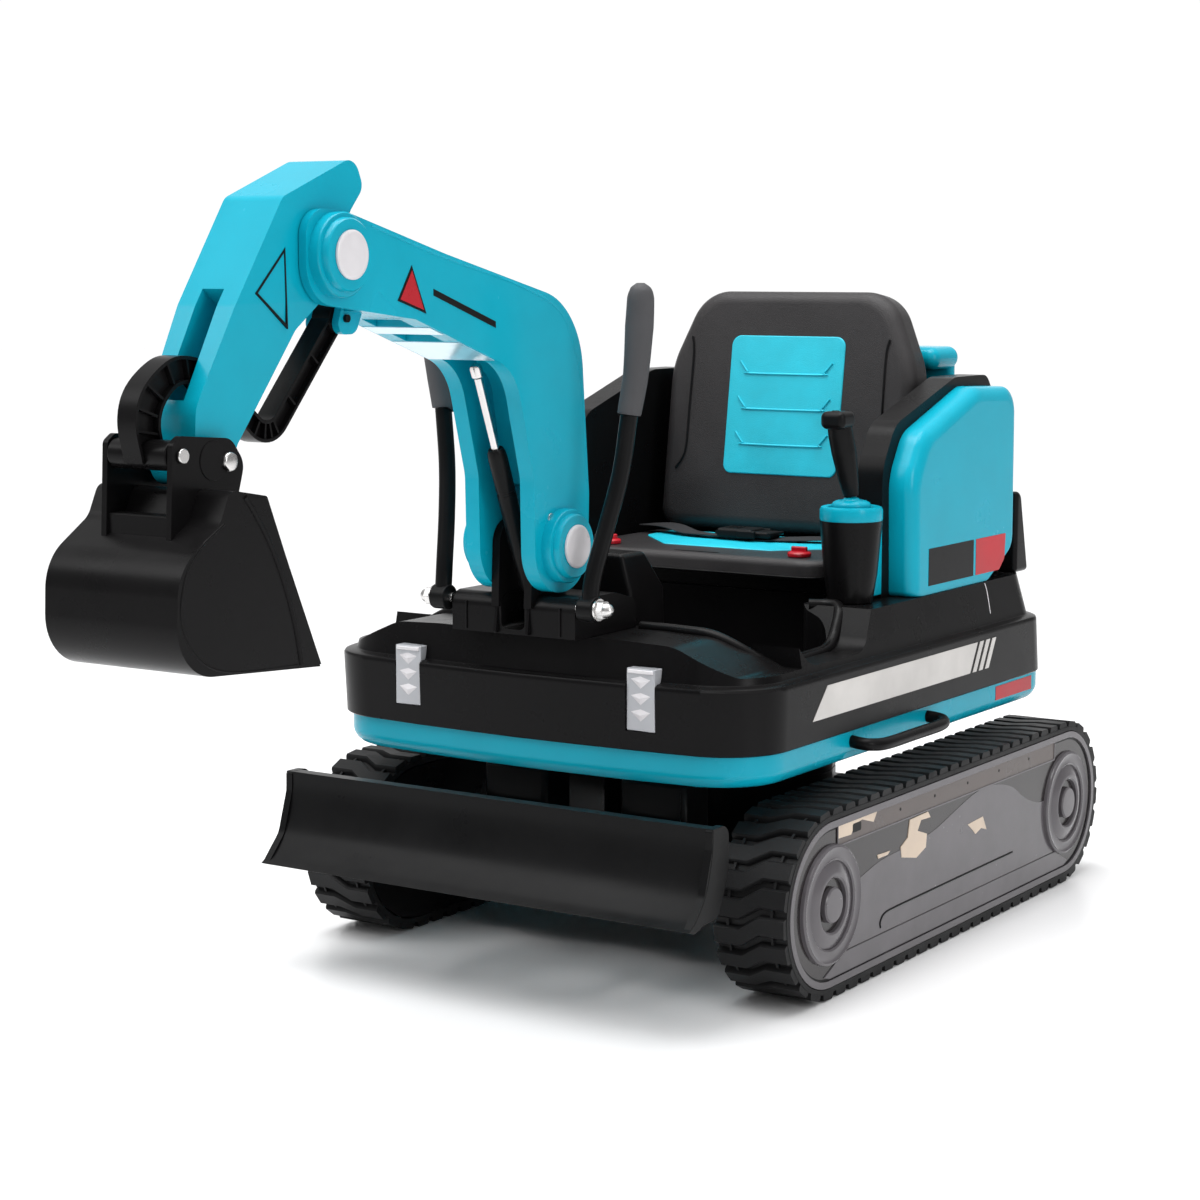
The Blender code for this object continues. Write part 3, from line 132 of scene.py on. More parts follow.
def cut(obj, *tools):
    for tool in tools:
        modifier = obj.modifiers.new("cut", "BOOLEAN")
        modifier.operation = "DIFFERENCE"
        modifier.object = tool
        modifier.solver = "EXACT"
        obj = bake(obj)
        bpy.data.objects.remove(tool)
    return obj


def softened(obj, width, segments=3, angle=35):
    modifier = obj.modifiers.new("round", "BEVEL")
    modifier.width = width
    modifier.segments = segments
    modifier.limit_method = "ANGLE"
    modifier.angle_limit = math.radians(angle)
    modifier.use_clamp_overlap = True
    modifier.miter_outer = "MITER_ARC"
    return bake(obj)


def filleted(corners, steps=10):
    outline = []
    for i, (u, v, radius) in enumerate(corners):
        here = Vector((u, v))
        before = Vector(corners[i - 1][:2]) - here
        after = Vector(corners[(i + 1) % len(corners)][:2]) - here
        if radius <= 0:
            outline.append(here)
            continue
        a, b = before.normalized(), after.normalized()
        half = a.angle(b) / 2
        reach = min(radius / math.tan(half), 0.49 * before.length, 0.49 * after.length)
        middle = here + (a + b).normalized() * (reach / math.cos(half))
        start = here + a * reach - middle
        turn = start.angle_signed(here + b * reach - middle)
        for step in range(steps + 1):
            outline.append(middle + Matrix.Rotation(-turn * step / steps, 2) @ start)
    return outline


def slab(name, outline, plane, low, high, holes=()):
    curve = bpy.data.curves.new(name, "CURVE")
    curve.dimensions = "2D"
    curve.fill_mode = "BOTH"
    curve.extrude = (high - low) / 2
    for loop in (outline, *holes):
        spline = curve.splines.new("POLY")
        spline.points.add(len(loop) - 1)
        spline.use_cyclic_u = True
        for point, (u, v) in zip(spline.points, loop):
            point.co = (u, v, 0, 1)
    obj = linked(name, curve)
    columns = {"YZ": ("Y", "Z", "X", 1), "XY": ("X", "Y", "Z", 1), "XZ": ("X", "Z", "Y", -1)}[plane]
    turn = Matrix.Identity(3)
    for i in range(3):
        turn.col[i] = AXES[columns[i]] * (columns[3] if i == 2 else 1)
    obj.matrix_world = Matrix.Translation(AXES[columns[2]] * (low + high) / 2) @ turn.to_4x4()
    return bake(obj)


def block(name, low, high):
    bm = bmesh.new()
    size = Vector(high) - Vector(low)
    place = Matrix.Translation((Vector(low) + Vector(high)) / 2) @ Matrix.Diagonal((*size, 1))
    bmesh.ops.create_cube(bm, size=1, matrix=place)
    return object_from(bm, name)


def rod(name, axis, centre, radius, low, high, segments=40):
    turn = AXES["Z"].rotation_difference(AXES[axis]).to_matrix().to_4x4()
    place = Vector(centre)
    place["XYZ".index(axis)] = (low + high) / 2
    bm = bmesh.new()
    bmesh.ops.create_cone(bm, cap_ends=True, segments=segments, radius1=radius, radius2=radius, depth=high - low,
                          matrix=Matrix.Translation(place) @ turn)
    return object_from(bm, name)


def turned(name, profile, centre, axis="Z", steps=48, turn=None):
    mesh = bpy.data.meshes.new(name)
    ends = [(i, i + 1) for i in range(len(profile) - 1)]
    if profile[0][0] > 0:
        ends.append((len(profile) - 1, 0))
    mesh.from_pydata([(radius, 0, height) for radius, height in profile], ends, [])
    obj = linked(name, mesh)
    screw = obj.modifiers.new("turn", "SCREW")
    screw.steps = screw.render_steps = steps
    screw.use_merge_vertices = True
    screw.merge_threshold = 1e-6
    if turn is None:
        turn = AXES["Z"].rotation_difference(AXES[axis]).to_matrix().to_4x4()
    obj.matrix_world = Matrix.Translation(centre) @ turn
    return bake(obj)


def loft(name, rings):
    bm = bmesh.new()
    rows = [[bm.verts.new(point) for point in ring] for ring in rings]
    for lower, upper in zip(rows, rows[1:]):
        for i in range(len(lower)):
            j = (i + 1) % len(lower)
            bm.faces.new((lower[i], lower[j], upper[j], upper[i]))
    bm.faces.new(rows[0])
    bm.faces.new(rows[-1])
    return object_from(bm, name)


def smooth_path(points, steps):
    points = [Vector(p) for p in points]
    ends = [points[0] * 2 - points[1], *points, points[-1] * 2 - points[-2]]
    path = []
    for a, b, c, d in zip(ends, ends[1:], ends[2:], ends[3:]):
        for step in range(steps):
            t = step / steps
            path.append(0.5 * (2 * b + (c - a) * t + (2 * a - 5 * b + 4 * c - d) * t**2
                               + (3 * b - a - 3 * c + d) * t**3))
    return [*path, points[-1]]


def tube(name, points, radius, steps=8, resolution=6, radii=None, cyclic=False):
    path = smooth_path(points, steps)
    curve = bpy.data.curves.new(name, "CURVE")
    curve.dimensions = "3D"
    curve.bevel_depth = radius
    curve.bevel_resolution = resolution
    curve.use_fill_caps = True
    spline = curve.splines.new("POLY")
    spline.points.add(len(path) - 1)
    spline.use_cyclic_u = cyclic
    for i, (point, co) in enumerate(zip(spline.points, path)):
        point.co = (*co, 1)
        if radii:
            share = i / (len(path) - 1) * (len(radii) - 1)
            k = min(int(share), len(radii) - 2)
            point.radius = radii[k] + (radii[k + 1] - radii[k]) * (share - k)
    obj = linked(name, curve)
    return bake(obj)


def merged(name, *objs):
    """Several solids as one mesh, with no Boolean."""
    bm = bmesh.new()
    for obj in objs:
        bm.from_mesh(obj.data)
        bpy.data.objects.remove(obj)
    return mesh_object(bm, name)


def mirror_copy(obj, name):
    bm = bmesh.new()
    bm.from_mesh(obj.data)
    bmesh.ops.scale(bm, vec=(-1, 1, 1), verts=bm.verts)
    bmesh.ops.reverse_faces(bm, faces=bm.faces)
    return mesh_object(bm, name)


# ---------------------------------------------------------------- materials
def new_material(name):
    made = bpy.data.materials.new(name)
    made.use_nodes = True
    return made, made.node_tree.nodes, made.node_tree.links, made.node_tree.nodes["Principled BSDF"]


def noise(nodes, links, coords, scale, detail=3.0, roughness=0.55):
    made = nodes.new("ShaderNodeTexNoise")
    made.inputs["Scale"].default_value = scale
    made.inputs["Detail"].default_value = detail
    made.inputs["Roughness"].default_value = roughness
    links.new(coords.outputs["Object"], made.inputs["Vector"])
    return made


def ramp(nodes, links, source, low, high, start=0.3, end=0.7):
    made = nodes.new("ShaderNodeMapRange")
    made.inputs["From Min"].default_value = start
    made.inputs["From Max"].default_value = end
    made.inputs["To Min"].default_value = low
    made.inputs["To Max"].default_value = high
    links.new(source, made.inputs["Value"])
    return made


def maths(nodes, links, operation, first, second):
    """A node that works on two sockets."""
    made = nodes.new("ShaderNodeMath")
    made.operation = operation
    links.new(first, made.inputs[0])
    links.new(second, made.inputs[1])
    return made.outputs["Value"]


def bumped(nodes, links, shader, height, strength):
    """Relief under 1 mm deep from a height socket."""
    relief = nodes.new("ShaderNodeBump")
    relief.inputs["Strength"].default_value = strength
    relief.inputs["Distance"].default_value = 0.0006
    links.new(height, relief.inputs["Height"])
    links.new(relief.outputs["Normal"], shader.inputs["Normal"])


def surface(name, colour, roughness, metallic=0.0, grain=900.0, bump=0.05, spread=0.1, tint=0.12, dust=0.0, coat=0.0,
            cells=0.0, shine=0.5, scuffs=1.0):
    """A moulded or painted surface: fine grain, patchy gloss, a faint change of tone and a little dust on its tops."""
    made, nodes, links, shader = new_material(name)
    coords = nodes.new("ShaderNodeTexCoord")
    broad = noise(nodes, links, coords, 14.0, 4.0)
    fine = noise(nodes, links, coords, grain, 2.0)
    scuff = noise(nodes, links, coords, 55.0, 6.0, 0.7)
    gloss = ramp(nodes, links, broad.outputs["Fac"], roughness - spread / 2, roughness + spread / 2)
    mark = ramp(nodes, links, scuff.outputs["Fac"], 0.0, spread * scuffs, 0.58, 0.75)
    total = maths(nodes, links, "ADD", gloss.outputs["Result"], mark.outputs["Result"])
    links.new(total, shader.inputs["Roughness"])
    tone = nodes.new("ShaderNodeMix")
    tone.data_type = "RGBA"
    tone.inputs["A"].default_value = (*[c * (1 - tint) for c in colour], 1)
    tone.inputs["B"].default_value = (*[min(1, c * (1 + tint)) for c in colour], 1)
    links.new(ramp(nodes, links, broad.outputs["Fac"], 0, 1).outputs["Result"], tone.inputs["Factor"])
    last = tone.outputs["Result"]
    if dust:
        geometry = nodes.new("ShaderNodeNewGeometry")
        split = nodes.new("ShaderNodeSeparateXYZ")
        links.new(geometry.outputs["Normal"], split.inputs["Vector"])
        up = ramp(nodes, links, split.outputs["Z"], 0.0, dust, 0.2, 1.0)
        patch = nodes.new("ShaderNodeMath")
        patch.operation = "MULTIPLY"
        links.new(up.outputs["Result"], patch.inputs[0])
        links.new(ramp(nodes, links, scuff.outputs["Fac"], 0.2, 1.0, 0.35, 0.65).outputs["Result"], patch.inputs[1])
        dusty = nodes.new("ShaderNodeMix")
        dusty.data_type = "RGBA"
        dusty.inputs["B"].default_value = (0.32, 0.31, 0.3, 1)
        links.new(patch.outputs["Value"], dusty.inputs["Factor"])
        links.new(last, dusty.inputs["A"])
        last = dusty.outputs["Result"]
    links.new(last, shader.inputs["Base Color"])
    shader.inputs["Metallic"].default_value = metallic
    shader.inputs["Specular IOR Level"].default_value = shine
    if coat:
        shader.inputs["Coat Weight"].default_value = coat
        shader.inputs["Coat Roughness"].default_value = 0.12
    height = fine.outputs["Fac"]
    if cells:
        leather = nodes.new("ShaderNodeTexVoronoi")
        leather.feature = "DISTANCE_TO_EDGE"
        leather.inputs["Scale"].default_value = cells
        warp = nodes.new("ShaderNodeVectorMath")
        warp.operation = "ADD"
        shift = noise(nodes, links, coords, cells * 0.4, 2.0)
        small = nodes.new("ShaderNodeVectorMath")
        small.operation = "SCALE"
        small.inputs["Scale"].default_value = 0.8 / cells
        links.new(shift.outputs["Color"], small.inputs["Vector"])
        links.new(coords.outputs["Object"], warp.inputs[0])
        links.new(small.outputs["Vector"], warp.inputs[1])
        links.new(warp.outputs["Vector"], leather.inputs["Vector"])
        crease = ramp(nodes, links, leather.outputs["Distance"], 0.0, 1.0, 0.0, 0.18)
        both = nodes.new("ShaderNodeMath")
        both.operation = "MULTIPLY_ADD"
        links.new(crease.outputs["Result"], both.inputs[0])
        both.inputs[1].default_value = 1.0
        links.new(fine.outputs["Fac"], both.inputs[2])
        height = both.outputs["Value"]
    bumped(nodes, links, shader, height, bump)
    return made


def webbing(name, colour):
    made, nodes, links, shader = new_material(name)
    coords = nodes.new("ShaderNodeTexCoord")
    weave = []
    for direction in ("X", "Y"):
        wave = nodes.new("ShaderNodeTexWave")
        wave.bands_direction = direction
        wave.inputs["Scale"].default_value = 260
        wave.inputs["Distortion"].default_value = 0.6
        links.new(coords.outputs["Object"], wave.inputs["Vector"])
        weave.append(wave)
    both = maths(nodes, links, "MULTIPLY", weave[0].outputs["Fac"], weave[1].outputs["Fac"])
    bumped(nodes, links, shader, both, 0.6)
    gloss = ramp(nodes, links, both, 0.75, 0.95, 0.0, 1.0)
    links.new(gloss.outputs["Result"], shader.inputs["Roughness"])
    shader.inputs["Base Color"].default_value = (*colour, 1)
    return made


def clear_lens():
    made, nodes, links, shader = new_material("clear_lens")
    coords = nodes.new("ShaderNodeTexCoord")
    fine = noise(nodes, links, coords, 300.0, 2.0)
    gloss = ramp(nodes, links, fine.outputs["Fac"], 0.1, 0.16)
    links.new(gloss.outputs["Result"], shader.inputs["Roughness"])
    shader.inputs["Base Color"].default_value = (0.52, 0.53, 0.56, 1)
    shader.inputs["Transmission Weight"].default_value = 0.25
    shader.inputs["IOR"].default_value = 1.45
    return made


TURQUOISE = surface("turquoise_plastic", (0.002, 0.345, 0.47), 0.25, bump=0.03, spread=0.06, tint=0.04, coat=0.06,
                    scuffs=0.0, shine=0.16)
BLACK = surface("black_plastic", (0.0048, 0.0045, 0.0048), 0.29, grain=1400, bump=0.1, spread=0.08, dust=0.008,
                shine=0.1)
DARK = surface("dark_plastic", (0.0062, 0.0062, 0.0066), 0.34, grain=1200, bump=0.1, dust=0.01, shine=0.1)
PAINTED = surface("black_paint", (0.0055, 0.0055, 0.0058), 0.31, grain=700, bump=0.05, spread=0.08, dust=0.01,
                  shine=0.1)
RUBBER = surface("track_rubber", (0.0095, 0.0095, 0.01), 0.46, grain=500, bump=0.25, spread=0.16, dust=0.01,
                 shine=0.14)
GRIP = surface("grip_rubber", (0.05, 0.05, 0.054), 0.66, grain=1600, bump=0.35, spread=0.12)
SMOKE = surface("smoky_plastic", (0.1, 0.092, 0.1), 0.2, grain=600, bump=0.03, coat=0.1, shine=0.35)
SMOKE_DARK = surface("smoky_dark", (0.024, 0.02, 0.021), 0.2, grain=600, bump=0.03, coat=0.1, shine=0.35)
BRONZE = surface("smoky_strip", (0.085, 0.066, 0.06), 0.3, grain=600, bump=0.03, coat=0.1, shine=0.35)
# beige shapes on the glossy track covers: painted reflection of the floor
FLOOR_REFLECTION = surface("floor_reflection_paint", (0.62, 0.5, 0.39), 0.35, bump=0.03)
LEATHER = surface("seat_leather", (0.027, 0.025, 0.026), 0.4, grain=2200, bump=0.28, spread=0.12, cells=620,
                  shine=0.3)
SEAT_BLUE = surface("seat_turquoise", (0.01, 0.5, 0.64), 0.42, grain=2200, bump=0.22, cells=620)
STEEL = surface("plated_steel", (0.62, 0.61, 0.6), 0.22, metallic=1.0, grain=300, bump=0.03, spread=0.18)
PALE = surface("pale_plastic", (0.66, 0.64, 0.66), 0.3, bump=0.03, coat=0.2)
SILVER = surface("silver_stripe", (0.56, 0.54, 0.52), 0.33, metallic=0.25, bump=0.04)
RED = surface("red_plastic", (0.44, 0.006, 0.016), 0.3, bump=0.03, shine=0.35)
LABEL = surface("label_black", (0.0075, 0.0075, 0.008), 0.33, bump=0.02, shine=0.1)
STRAP = webbing("strap_webbing", (0.014, 0.014, 0.016))
LENS = clear_lens()
SLOT_LOOKS = {"turquoise": TURQUOISE, "black_body": BLACK, "dark_parts": DARK, "chassis": PAINTED,
              "rubber_belt": RUBBER,
              "grip": GRIP, "cover": SMOKE, "seat": LEATHER, "strap": STRAP, "steel": STEEL, "cap": PALE, "knob": RED,
              "lens": LENS}


# ---------------------------------------------------------------- showing pieces
def show(obj, name, body, slot, look, *nodes, smooth=35):
    """Puts a finished piece in place of CAD nodes, riding on a body, in a material."""
    obj.data.transform(Matrix.Translation((0, SHIFT, 0)))
    obj.name = name
    obj.data.materials.clear()
    obj.data.materials.append(look)
    obj.data.shade_smooth()
    obj.data.set_sharp_from_angle(angle=math.radians(smooth))
    obj.modifiers.new("normals", "WEIGHTED_NORMAL").keep_sharp = True
    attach(obj, body)
    if nodes:
        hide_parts(*nodes)
    return obj


def show_both(obj, name, body, slot, look, *nodes, smooth=35):
    """The left piece and its mirror image. Names and nodes written with 'left' are turned to 'right'."""
    other = mirror_copy(obj, name.replace("left", "right"))
    show(obj, name, body, slot, look, *nodes, smooth=smooth)
    show(other, name.replace("left", "right"), body.replace("left", "right"), slot, look,
         *[n.replace("left", "right") for n in nodes], smooth=smooth)


def decal(name, body, slot, look, outline, plane, surface_at, proud=0.0004, both=False):
    """A thin plate on a flat face."""
    low, high = sorted((surface_at - 0.0006, surface_at + proud))
    piece = slab(name, outline, plane, low, high)
    if both:
        show_both(piece, name, body, slot, look)
    else:
        show(piece, name, body, slot, look)


def dress_frame():
    """Materials and rounded edges for every CAD node that is still shown."""
    slots = {s["node"]: s["material_slot"] for s in frame["record"]["subparts"]}
    for name, obj in frame["nodes"].items():
        if obj.hide_render:
            continue
        obj.data.materials.clear()
        obj.data.materials.append(SLOT_LOOKS[slots[name]])
        weld = obj.modifiers.new("weld", "WELD")
        weld.merge_threshold = 0.00002
        bevel = obj.modifiers.new("round", "BEVEL")
        bevel.width = 0.0012
        bevel.segments = 2
        bevel.limit_method = "ANGLE"
        bevel.angle_limit = math.radians(40)
        obj.data.shade_smooth()
        obj.modifiers.new("normals", "WEIGHTED_NORMAL").keep_sharp = True


def offset_scale(outline, inset):
    """An outline drawn in by a distance on each axis, about the middle of its box."""
    us, vs = [p[0] for p in outline], [p[1] for p in outline]
    cu, cv = (min(us) + max(us)) / 2, (min(vs) + max(vs)) / 2
    hu, hv = (max(us) - min(us)) / 2, (max(vs) - min(vs)) / 2
    return [(cu + (u - cu) * (hu - inset) / hu, cv + (v - cv) * (hv - inset) / hv) for u, v in outline]


def cushion(name, outline, depth, edge, crown, steps=8, back_edge=None, place=None):
    """A padded block: an outline in XY raised along +Z, with a full round at its edges and a swelling top."""
    rings = []
    back = edge if back_edge is None else back_edge
    for i in range(steps + 1):
        angle = math.pi / 2 * i / steps
        rings.append((back * (1 - math.sin(angle)), back * (1 - math.cos(angle))))
    for i in range(steps + 1):
        angle = math.pi / 2 * i / steps
        rings.append((edge * (1 - math.cos(angle)), depth - crown - edge * (1 - math.sin(angle))))
    span = min(max(p[0] for p in outline) - min(p[0] for p in outline),
               max(p[1] for p in outline) - min(p[1] for p in outline)) / 2
    for i in range(1, 9):
        share = i / 8.3
        rings.append((edge + (span - edge) * share, depth - crown * (1 - share * (2 - share))))
    obj = loft(name, [[(u, v, height) for u, v in offset_scale(outline, inset)] for inset, height in rings])
    if place is not None:
        obj.data.transform(place)
    return obj


def ribbon(name, points, plane_half, thick):
    """A flat strip standing across X, that follows a line of (y, z) points."""
    points = [Vector(p) for p in points]
    sides = [[], []]
    for i, p in enumerate(points):
        along = (points[min(i + 1, len(points) - 1)] - points[max(i - 1, 0)]).normalized()
        normal = Vector((along.y, -along.x)) * thick / 2
        sides[0].append(tuple(p + normal))
        sides[1].append(tuple(p - normal))
    return slab(name, sides[0] + sides[1][::-1], "YZ", -plane_half, plane_half)


def flat_path(points, steps):
    """A smooth line through points in a plane."""
    return [(p.x, p.y) for p in smooth_path([Vector((u, v, 0)) for u, v in points], steps)]


def skin(name, outline, side_at, proud=0.0005, deep=0.0008):
    """A thin plate laid on a surface whose X is given for each (y, z)."""
    bm = bmesh.new()
    inner = [bm.verts.new((side_at(y, z) - deep, y, z)) for y, z in outline]
    outer = [bm.verts.new((side_at(y, z) + proud, y, z)) for y, z in outline]
    bm.faces.new(outer)
    bm.faces.new(inner[::-1])
    for i in range(len(outline)):
        j = (i + 1) % len(outline)
        bm.faces.new((inner[i], inner[j], outer[j], outer[i]))
    return object_from(bm, name)


# ---------------------------------------------------------------- tracks
def stadium(radius, steps=40):
    outline = []
    for hub, start in ((REAR_HUB_Y, -math.pi / 2), (FRONT_HUB_Y, math.pi / 2)):
        for step in range(steps + 1):
            angle = start + math.pi * step / steps
            outline.append((hub + radius * math.cos(angle), BELT_RADIUS + radius * math.sin(angle)))
    return outline


def stadium_point(length, radius):
    arc = math.pi * (BELT_RADIUS - LUG_HEIGHT)
    length = length % (2 * WHEELBASE + 2 * arc)
    if length < WHEELBASE:
        return Vector((FRONT_HUB_Y + length, BELT_RADIUS + radius))
    if length < WHEELBASE + arc:
        angle = math.pi / 2 - math.pi * (length - WHEELBASE) / arc
        hub = REAR_HUB_Y
    elif length < 2 * WHEELBASE + arc:
        return Vector((REAR_HUB_Y - (length - WHEELBASE - arc), BELT_RADIUS - radius))
    else:
        angle = -math.pi / 2 - math.pi * (length - 2 * WHEELBASE - arc) / arc
        hub = FRONT_HUB_Y
    return Vector((hub + radius * math.cos(angle), BELT_RADIUS + radius * math.sin(angle)))


def belt():
    """The rubber belt: a band with two staggered rows of bars that meet in a zigzag, and a smooth edge."""
    band = BELT_RADIUS - LUG_HEIGHT
    outer_x = TRACK_OUTER_X
    lap = 2 * WHEELBASE + 2 * math.pi * band
    count = round(lap / LUG_PITCH)
    pitch = lap / count
    rail = softened(slab("band", stadium(band), "YZ", TRACK_INNER_X, outer_x, holes=[stadium(band - BAND_THICKNESS)]),
                    0.001, 2, 50)
    made = [rail]
    middle = (TRACK_INNER_X + outer_x) / 2
    stations = ((TRACK_INNER_X + 0.0004, 0, 1.0), (middle - 0.011, 0, 1.0), (middle + 0.011, 0.5, 1.0),
                (outer_x - 0.0004, 0.5, 1.0))
    for i in range(count):
        rings = []
        for x, shift, size in stations:
            at = (i + shift) * pitch
            ring = []
            for along, height in ((-0.4, band - 0.001), (-0.36, BELT_RADIUS - 0.0024), (-0.29, BELT_RADIUS - 0.0003),
                                  (0.29, BELT_RADIUS - 0.0003), (0.36, BELT_RADIUS - 0.0024), (0.4, band - 0.001)):
                point = stadium_point(at + along * pitch * size, height)
                ring.append((x, point.x, point.y))
            rings.append(ring)
        made.append(loft("bar", rings))
        for x, shift in ((middle - 0.024, 0.5), (middle + 0.024, 0.0)):
            ring = []
            for dx in (-0.0013, 0.0013):
                for along, height in ((-0.16, band - 0.001), (-0.16, band + 0.0034), (0.16, band + 0.0034),
                                      (0.16, band - 0.001)):
                    point = stadium_point((i + shift) * pitch + along * pitch, height)
                    ring.append((x + dx, point.x, point.y))
            made.append(loft("web", [ring[:4], ring[4:]]))
    show_both(merged("belt", *made), "track_belt_left_tread", "undercarriage", "rubber_belt", RUBBER,
              "track_belt_left",
              smooth=38)


def hub_disc(hub, outer_x):
    """Concentric rings round a hub, as one turned plate, and the dark recess in them."""
    base = outer_x - 0.003
    ring = [(0.044, base), (0.044, outer_x + 0.001), (0.046, outer_x + 0.0022), (0.05, outer_x + 0.0012),
            (0.0545, outer_x + 0.002), (0.057, outer_x + 0.0032), (0.0595, outer_x + 0.002),
            (0.0602, outer_x - 0.0008),
            (0.0602, base)]
    middle = [(0.027, base), (0.027, outer_x + 0.0022), (0.029, outer_x + 0.0036), (0.033, outer_x + 0.0034),
              (0.04, outer_x + 0.0006), (0.0442, outer_x - 0.0006), (0.0442, base)]
    cap = [(0, base), (0.018, base), (0.018, outer_x + 0.0028), (0.0165, outer_x + 0.0043), (0.012, outer_x + 0.0045),
           (0, outer_x + 0.0045)]
    well = [(0.017, base + 0.0002), (0.028, base + 0.0002), (0.028, base + 0.001), (0.017, base + 0.001)]
    turn = towards_side(1)
    centre = (0, hub, BELT_RADIUS)
    return [turned("hub", profile, centre, steps=96, turn=turn) for profile in (ring, middle, cap, well)]


def cover():
    outer_x = TRACK_OUTER_X
    radius = BELT_RADIUS - LUG_HEIGHT - BAND_THICKNESS - GAP * 2
    field = outer_x - 0.0016
    base = slab("cover", stadium(radius), "YZ", outer_x - 0.006, field)
    show_both(base, "track_cover_left_field", "undercarriage", "cover", SMOKE_DARK, "track_cover_left")
    rim = softened(slab("rim", stadium(radius), "YZ", outer_x - 0.0045, outer_x + 0.0006,
                        holes=[stadium(radius - 0.007)]),
                   0.001, 3, 50)
    groove = slab("groove", stadium(radius - 0.0074), "YZ", outer_x - 0.004, field + 0.0002,
                  holes=[stadium(radius - 0.0095)])
    show_both(rim, "cover_left_rim", "undercarriage", "cover", SMOKE)
    show_both(groove, "cover_left_groove", "undercarriage", "dark_parts", LABEL)
    lower = [(y, max(z, BELT_RADIUS - radius + 0.008)) for y, z in
             ((-0.262, 0.024), (-0.25, 0.018), (REAR_HUB_Y, 0.018), (0.337, 0.024), (0.3, 0.0415), (-0.22, 0.0415))]
    show_both(softened(slab("lower", lower, "YZ", field - 0.001, field + 0.0012), 0.001, 2), "cover_left_lower",
              "undercarriage", "cover", SMOKE)
    crest = [(-0.192, 0.108), (-0.14, 0.118), (-0.075, 0.121), (-0.02, 0.126), (0.04, 0.14), (0.085, 0.149),
             (0.13, 0.149), (0.175, 0.139), (0.21, 0.121), (0.245, 0.109), (0.272, 0.107)]
    hill = flat_path(crest, 6) + [(0.3, 0.085), (0.3, 0.0425), (-0.222, 0.0425), (-0.205, 0.075)]
    show_both(slab("hill", hill, "YZ", field - 0.001, field + 0.0004), "cover_left_hill", "undercarriage", "cover",
              SMOKE)
    strip = filleted([(-0.237, 0.15, 0.002), (0.292, 0.15, 0.002), (0.292, 0.1765, 0.003), (-0.237, 0.1765, 0.003)],
                     4)
    show_both(softened(slab("strip", strip, "YZ", field - 0.001, field + 0.0006), 0.0005, 2), "cover_left_strip",
              "undercarriage", "cover", BRONZE)
    line = slab("line", strip, "YZ", field - 0.001, field + 0.0013, holes=[offset_scale(strip, 0.0016)])
    show_both(line, "cover_left_strip_edge", "undercarriage", "cover", SMOKE)
    hole = filleted([(-0.205, 0.158, 0.002), (-0.187, 0.158, 0.002), (-0.187, 0.167, 0.002),
                     (-0.205, 0.167, 0.002)], 4)
    dots = [slab("dot", hole, "YZ", field, field + 0.0009)]
    dots += [rod("dot", "X", (0, y, 0.163), 0.0016, field, field + 0.0009, 12)
             for y in (-0.1, -0.02, 0.06, 0.14, 0.22)]
    route = [(outer_x - 0.0012, y, z) for y, z in ((0.18, 0.064), (0.08, 0.0638), (-0.04, 0.0632), (-0.11, 0.0628),
                                                   (-0.133, 0.0612), (-0.142, 0.0545), (-0.141, 0.048))]
    dots.append(tube("slot", route, 0.0011, 6, 3))
    show_both(merged("marks", *dots), "cover_left_marks", "undercarriage", "dark_parts", LABEL)
    # Beige shapes on the glossy cover: painted reflection of the floor, laid on as thin plates.
    reflection_shapes = [[(-0.236, 0.158), (-0.208, 0.157), (-0.2, 0.166), (-0.185, 0.168), (-0.16, 0.161), (-0.152, 0.171),
             (-0.236, 0.1745)],
            [(-0.096, 0.112), (-0.062, 0.105), (-0.04, 0.112), (-0.038, 0.126), (-0.06, 0.133), (-0.052, 0.143),
             (-0.03, 0.142), (-0.036, 0.149), (-0.078, 0.148), (-0.082, 0.13), (-0.098, 0.123)],
            [(0.062, 0.117), (0.1, 0.119), (0.11, 0.103), (0.096, 0.107), (0.082, 0.103), (0.074, 0.109)],
            [(-0.15, 0.125), (-0.122, 0.124), (-0.128, 0.121), (-0.148, 0.121)]]
    reflection_patches = merged("reflection_shapes", *[slab("patch", outline, "YZ", field, field + 0.0008) for outline in reflection_shapes])
    show_both(reflection_patches, "cover_left_patches", "undercarriage", "cover", FLOOR_REFLECTION)
    for end, hub in (("front", FRONT_HUB_Y), ("rear", REAR_HUB_Y)):
        ring, middle, cap, well = hub_disc(hub, outer_x)
        show_both(merged("rings", ring, middle, cap), f"cover_left_{end}_hub", "undercarriage", "cover", SMOKE)
        show_both(well, f"cover_left_{end}_recess", "undercarriage", "dark_parts", LABEL)


def blade():
    half = BLADE_HALF_WIDTH
    front = flat_path([(-0.415, 0.196), (-0.4155, 0.178), (-0.42, 0.156), (-0.429, 0.134), (-0.444, 0.116),
                       (-0.4575, 0.107)], 6)
    back = flat_path([(-0.448, 0.104), (-0.433, 0.109), (-0.417, 0.129), (-0.407, 0.153), (-0.402, 0.178),
                      (-0.402, 0.196)], 6)
    plate = softened(slab("blade", front + back, "YZ", -half, half), 0.0018, 4, 50)
    end = filleted([(-0.416, 0.1962, 0.004), (-0.4165, 0.176, 0.01), (-0.43, 0.134, 0.02), (-0.456, 0.1068, 0.001),
                    (-0.405, 0.11, 0.012), (-0.386, 0.15, 0.02), (-0.386, 0.1962, 0.012)], 8)
    ends = [softened(slab("end", end, "YZ", *span(sign, half - 0.008, half - 0.0003)), 0.0018, 3, 50)
            for _, sign in SIDES]
    show(merged("blade", plate, *ends), "blade_plate", "blade", "chassis", PAINTED, "blade")


